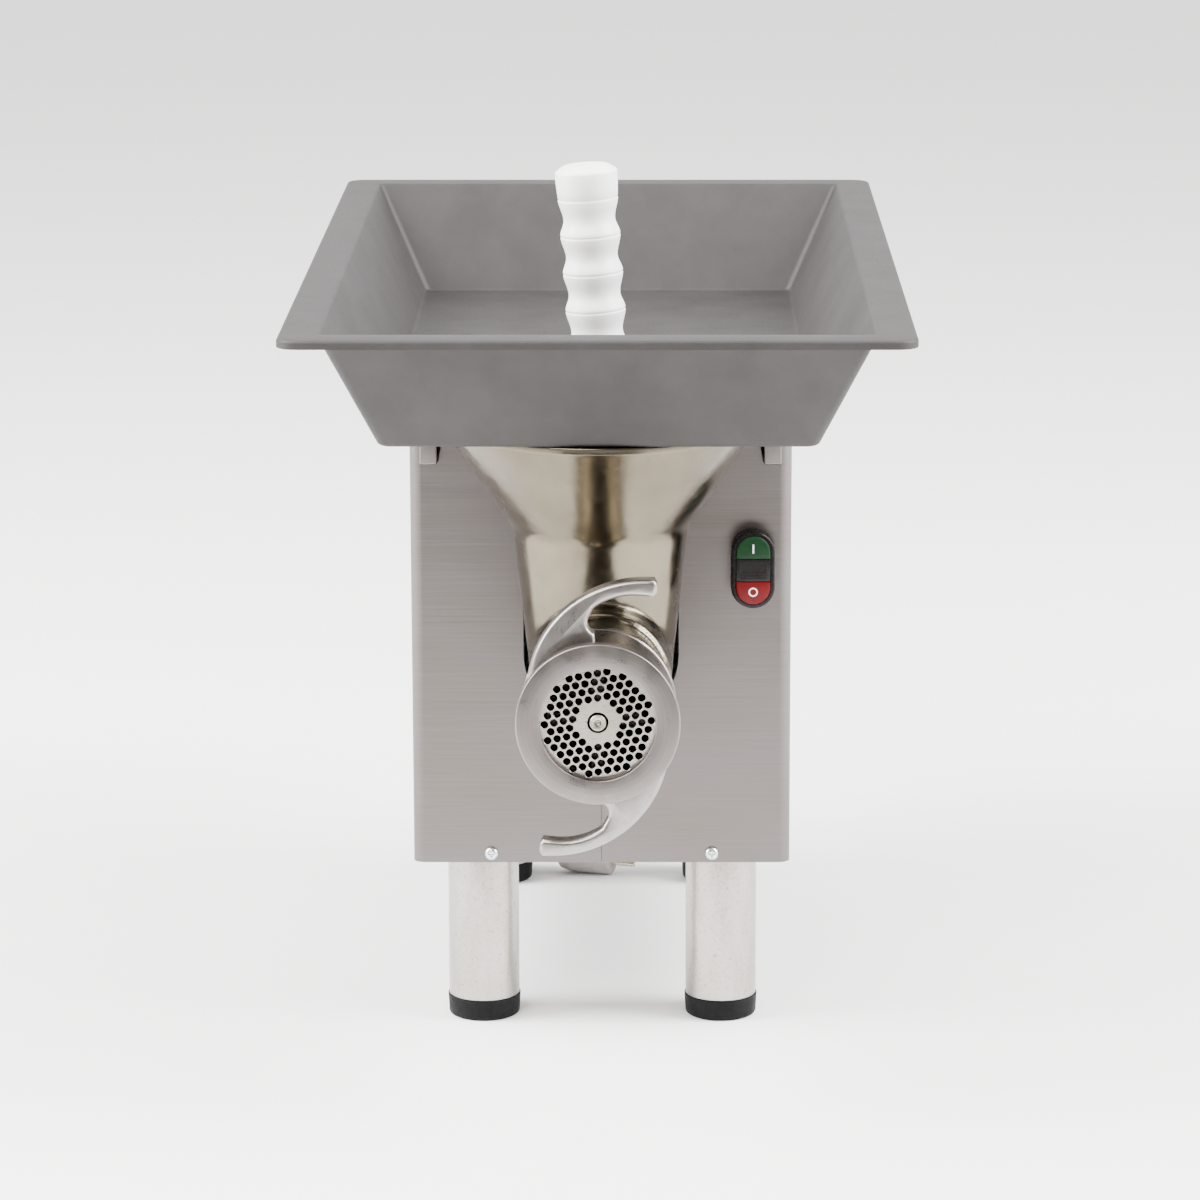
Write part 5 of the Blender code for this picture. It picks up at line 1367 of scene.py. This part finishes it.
def cutting_plate():
    """The drilled disc, with ground faces, and its hole walls near black as painted shade."""
    chamfer = HOLE_CHAMFER
    front = Vector((0, RING_FRONT + RING_LIP + GAP, AXIS_Z))
    bm = bmesh.new()
    rim = circle_edges(bm, front, PLATE_RADIUS - RIM_CHAMFER, 128)
    circles = [(front, CENTRE_HOLE, circle_edges(bm, front, CENTRE_HOLE + chamfer, 48))]
    for hole in mincing_holes():
        circles.append((front + hole, MINCE_HOLE, circle_edges(bm, front + hole, MINCE_HOLE + chamfer, 20)))
    every = rim + [edge for _, _, edges in circles for edge in edges]
    bmesh.ops.triangle_fill(bm, use_beauty=True, edges=every, normal=(0, -1, 0))
    half = PLATE_THICKNESS / 2
    for centre, radius, edges in circles:
        edges = stepped_in(bm, edges, centre, radius / (radius + chamfer), chamfer)
        known = set(bm.faces)
        stepped_in(bm, edges, centre, 1, half - chamfer)
        # The walls take the second finish, which is painted shade.
        for wall in set(bm.faces) - known:
            wall.material_index = 1
    rim = stepped_in(bm, rim, front, PLATE_RADIUS / (PLATE_RADIUS - RIM_CHAMFER), RIM_CHAMFER)
    stepped_in(bm, rim, front, 1, half - RIM_CHAMFER)
    middle = Matrix.Translation((0, -front.y - half, 0))
    every = bm.verts[:] + bm.edges[:] + bm.faces[:]
    bmesh.ops.mirror(bm, geom=every, matrix=middle, merge_dist=1e-6, axis="Y")
    made = shaded(bm, "drilled_plate", GROUND, 30)
    # The second finish, for the hole walls, is painted shade: near black for the dark inside the holes.
    made.data.materials.append(HOLE_WALL_SHADE)
    mounted(made, "machine", "machined_steel", "cutting_plate")


cutting_plate()
print("plate holes:", sum(1 for _ in mincing_holes()))

# %% [markdown]
# ## Auger
#
# Only the auger's stud shows, in the middle of the plate, and its flight through the funnel. The flight is
# a screw: a flat section turned and moved along the axis at the same time, which is what a spin with a
# step along its axis does. The core, square, stud and journal are turned or boxed round the same axis.

# %% Auger
AUGER_RADIUS, AUGER_CORE, AUGER_PITCH = 0.0348, 0.016, 0.052
KNIFE_SQUARE, STUD = 0.0130, 0.0056


def flight(start, end):
    """The screw flight between two places along the axis, as a bmesh of its own."""
    made = bmesh.new()
    root, rim = AUGER_CORE - 0.001, AUGER_RADIUS - 0.0006
    wire(made, [
        (root, 0, -0.0040), (rim, 0, -0.0022), (AUGER_RADIUS, 0, -0.0014),
        (AUGER_RADIUS, 0, 0.0014), (rim, 0, 0.0022), (root, 0, 0.0040),
    ], closed=True)
    turns = (end - start - 0.010) / AUGER_PITCH
    steps = round(turns * 36)
    face = bmesh.ops.contextual_create(made, geom=made.edges[:])["faces"]
    bmesh.ops.spin(
        made, geom=face + made.edges[:] + made.verts[:], cent=(0, 0, 0), axis=(0, 0, 1),
        dvec=(0, 0, turns * AUGER_PITCH / steps), angle=math.tau * turns, steps=steps,
    )
    place = Matrix.Translation((0, start + 0.005, AXIS_Z)) @ UP_ALONG["Y"]
    bmesh.ops.transform(made, matrix=place, verts=made.verts)
    return made


def auger():
    """The flight on its core, then the knife's square and the ground stud that shows in the plate."""
    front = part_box("auger")[0].y
    start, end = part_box("knife")[1].y + GAP, BORE_END_Y - 2 * GAP
    bm = bmesh.new()
    merge_into(bm, flight(start, end))
    length = end - start
    spun(bm, [(0, 0), (AUGER_CORE, 0, 0.001), (AUGER_CORE, length), (0, length)], (0, start, AXIS_Z), "Y", 48)
    spun(bm, [(0, -0.004), (0.020, -0.004), (0.020, 0.018, 0.0008), (0, 0.018)], (0, end, AXIS_Z), "Y", 48)
    half = KNIFE_SQUARE / 2
    square = start - 0.008 - GAP
    boxed(bm, (-half, square, AXIS_Z - half), (half, start + 0.006, AXIS_Z + half), 0.0005, 2)
    cast_faces = len(bm.faces)
    outline = [
        (0, 0.0040), (0.0020, 0.0022, 0.0002), (0.0024, 0.0001, 0.0003), (STUD - 0.0008, 0, 0.0003),
        (STUD, 0.0008, 0.0003), (STUD, square + 0.004 - front), (0, square + 0.004 - front),
    ]
    spun(bm, outline, (0, front, AXIS_Z), "Y", 48)
    bm.faces.ensure_lookup_table()
    for face in bm.faces[cast_faces:]:
        face.material_index = 1
    made = shaded(bm, "screw_auger", CASTING)
    made.data.materials.append(GROUND)
    mounted(made, "spindle", "polished_casting", "auger")


auger()

# %% [markdown]
# ## Switch
#
# The switch is a moulded double pushbutton: a glossy black frame with half-round ends, a green start button
# and a red stop button flush in it, and a dark window between them. The frame's outline is a rectangle whose
# corners are rounded to half its width. The usual I and O marks stand on the buttons, in place of words.

# %% Switch
BEZEL_LOW, BEZEL_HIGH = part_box("switch_bezel")
SWITCH_X = (BEZEL_LOW.x + BEZEL_HIGH.x) / 2
SWITCH_Z = (BEZEL_LOW.z + BEZEL_HIGH.z) / 2
BEZEL_DEPTH = CABINET_FRONT - GAP - BEZEL_LOW.y
BEZEL_WIDTH, BEZEL_HEIGHT = 0.031, 0.055
WINDOW_WIDTH, WINDOW_HEIGHT, WINDOW_DEPTH = 0.0246, 0.0496, 0.0100
LENS_HEIGHT = 0.0160
MARK_OFFSET = 0.0155


def stadium(width, height):
    """An upright outline with half-round ends, centred on the origin."""
    radius = width / 2
    reach = height / 2 - radius
    return arc((0, reach), radius, 0, 180, 24) + arc((0, -reach), radius, 180, 360, 24)


def at_switch(bm, face):
    """Moves a shape from the origin to the switch, with its front at a depth."""
    bmesh.ops.translate(bm, vec=(SWITCH_X, face, SWITCH_Z), verts=bm.verts)


def bezel():
    """The frame, with the well that the buttons and the window sit in."""
    bm = bmesh.new()
    pulled(bm, stadium(BEZEL_WIDTH, BEZEL_HEIGHT), BEZEL_DEPTH, 0.0016, 4, both=False)
    at_switch(bm, BEZEL_LOW.y)
    frame_piece = shaded(bm, "moulded_bezel", BLACK_ABS)
    bm = bmesh.new()
    pulled(bm, stadium(WINDOW_WIDTH, WINDOW_HEIGHT), WINDOW_DEPTH + 0.005)
    at_switch(bm, BEZEL_LOW.y - 0.005)
    cut_from(frame_piece, shaded(bm, "cutter", BLACK_ABS))
    mounted(frame_piece, "machine", "black_plastic", "switch_bezel")


def button(name, turn, plastic, node, slot):
    """A half-round button with softened edges, just proud of the frame."""
    radius = WINDOW_WIDTH / 2 - GAP
    edge = LENS_HEIGHT / 2 + GAP
    middle = (WINDOW_HEIGHT - WINDOW_WIDTH) / 2
    outline = [(radius, edge)] + arc((0, middle), radius, 0, 180, 24) + [(-radius, edge)]
    low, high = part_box(node)
    bm = bmesh.new()
    pulled(bm, [(x * turn, z * turn) for x, z in outline], high.y - low.y, 0.0010, 4, both=False)
    at_switch(bm, low.y)
    mounted(shaded(bm, name, plastic), node, slot, node)


def mark(name, body, z, ring):
    """The I or O on a button, printed thick enough to feel."""
    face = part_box(body)[0].y
    bm = bmesh.new()
    if ring:
        spun(bm, [(0.0023, 0), (0.0032, 0), (0.0032, 0.0003), (0.0023, 0.0003)], (0, -0.00012, 0), "Y", 40)
    else:
        boxed(bm, (-0.0005, -0.00012, -0.0032), (0.0005, 0.0002, 0.0032), 0.00008, 1)
    bmesh.ops.translate(bm, vec=(SWITCH_X, face, z), verts=bm.verts)
    mounted(shaded(bm, name, PRINT), body, "white_plastic")


def window():
    """The dark middle, with a shallow panel and three fine bars near its foot."""
    face = BEZEL_LOW.y - 0.0002
    half = WINDOW_WIDTH / 2 - GAP
    bm = bmesh.new()
    boxed(bm, (-half, 0, -LENS_HEIGHT / 2), (half, WINDOW_DEPTH - GAP, LENS_HEIGHT / 2), 0.0005, 3)
    at_switch(bm, face)
    lens = shaded(bm, "switch_window", LENS_ABS)
    bm = bmesh.new()
    boxed(bm, (-half + 0.0030, -0.002, -0.0018), (half - 0.0030, 0.0004, 0.0055), 0.0002, 1)
    at_switch(bm, face)
    cut_from(lens, shaded(bm, "cutter", LENS_ABS))
    bm = bmesh.new()
    for bar in range(3):
        z = -0.0034 - 0.0013 * bar
        boxed(bm, (-half + 0.0030, -0.00015, z - 0.0003), (half - 0.0030, 0.0004, z + 0.0003), 0.0001, 1)
    at_switch(bm, face)
    mounted(shaded(bm, "window_bars", BLACK_ABS), "machine", "black_plastic")
    mounted(lens, "machine", "black_plastic", "switch_lens")


bezel()
button("green_button", 1, GREEN_ABS, "start_button", "start_green")
button("red_button", -1, RED_ABS, "stop_button", "stop_red")
mark("start_mark", "start_button", SWITCH_Z + MARK_OFFSET, ring=False)
mark("stop_mark", "stop_button", SWITCH_Z - MARK_OFFSET, ring=True)
window()
print("switch at", round(SWITCH_X, 4), round(SWITCH_Z, 4))

# %% [markdown]
# ## Rear panel
#
# The back is one sheet with a row of vents over the motor's fan and a hole for the strain relief. The vents
# are slots with round ends, as a punch leaves them, so each is cut with a rounded outline.

# %% Rear panel
VENTS, VENT_PITCH, VENT_HEIGHT, VENT_WIDTH = 7, 0.015, 0.005, 0.120
LOWEST_VENT = AXIS_Z - 0.0425
GLAND_HOLE = 0.0080


def rear_panel():
    """A flat sheet with its vents and the gland's hole punched through."""
    low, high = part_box("rear_panel")
    panel = block("vented_rear", BRUSHED, low, high, 0.0003, 2)
    holes = []
    for row in range(VENTS):
        z = LOWEST_VENT + VENT_PITCH * row
        holes.append([(x, z + dz) for dz, x in stadium(VENT_HEIGHT, VENT_WIDTH)])
    holes.append(arc((GLAND_X, GLAND_Z), GLAND_HOLE, 0, 345, 23))
    cut_from(panel, *[pulled_cutter(hole, low.y - 3 * SHEET) for hole in holes])
    mounted(panel, "machine", "brushed_panel", "rear_panel")


rear_panel()
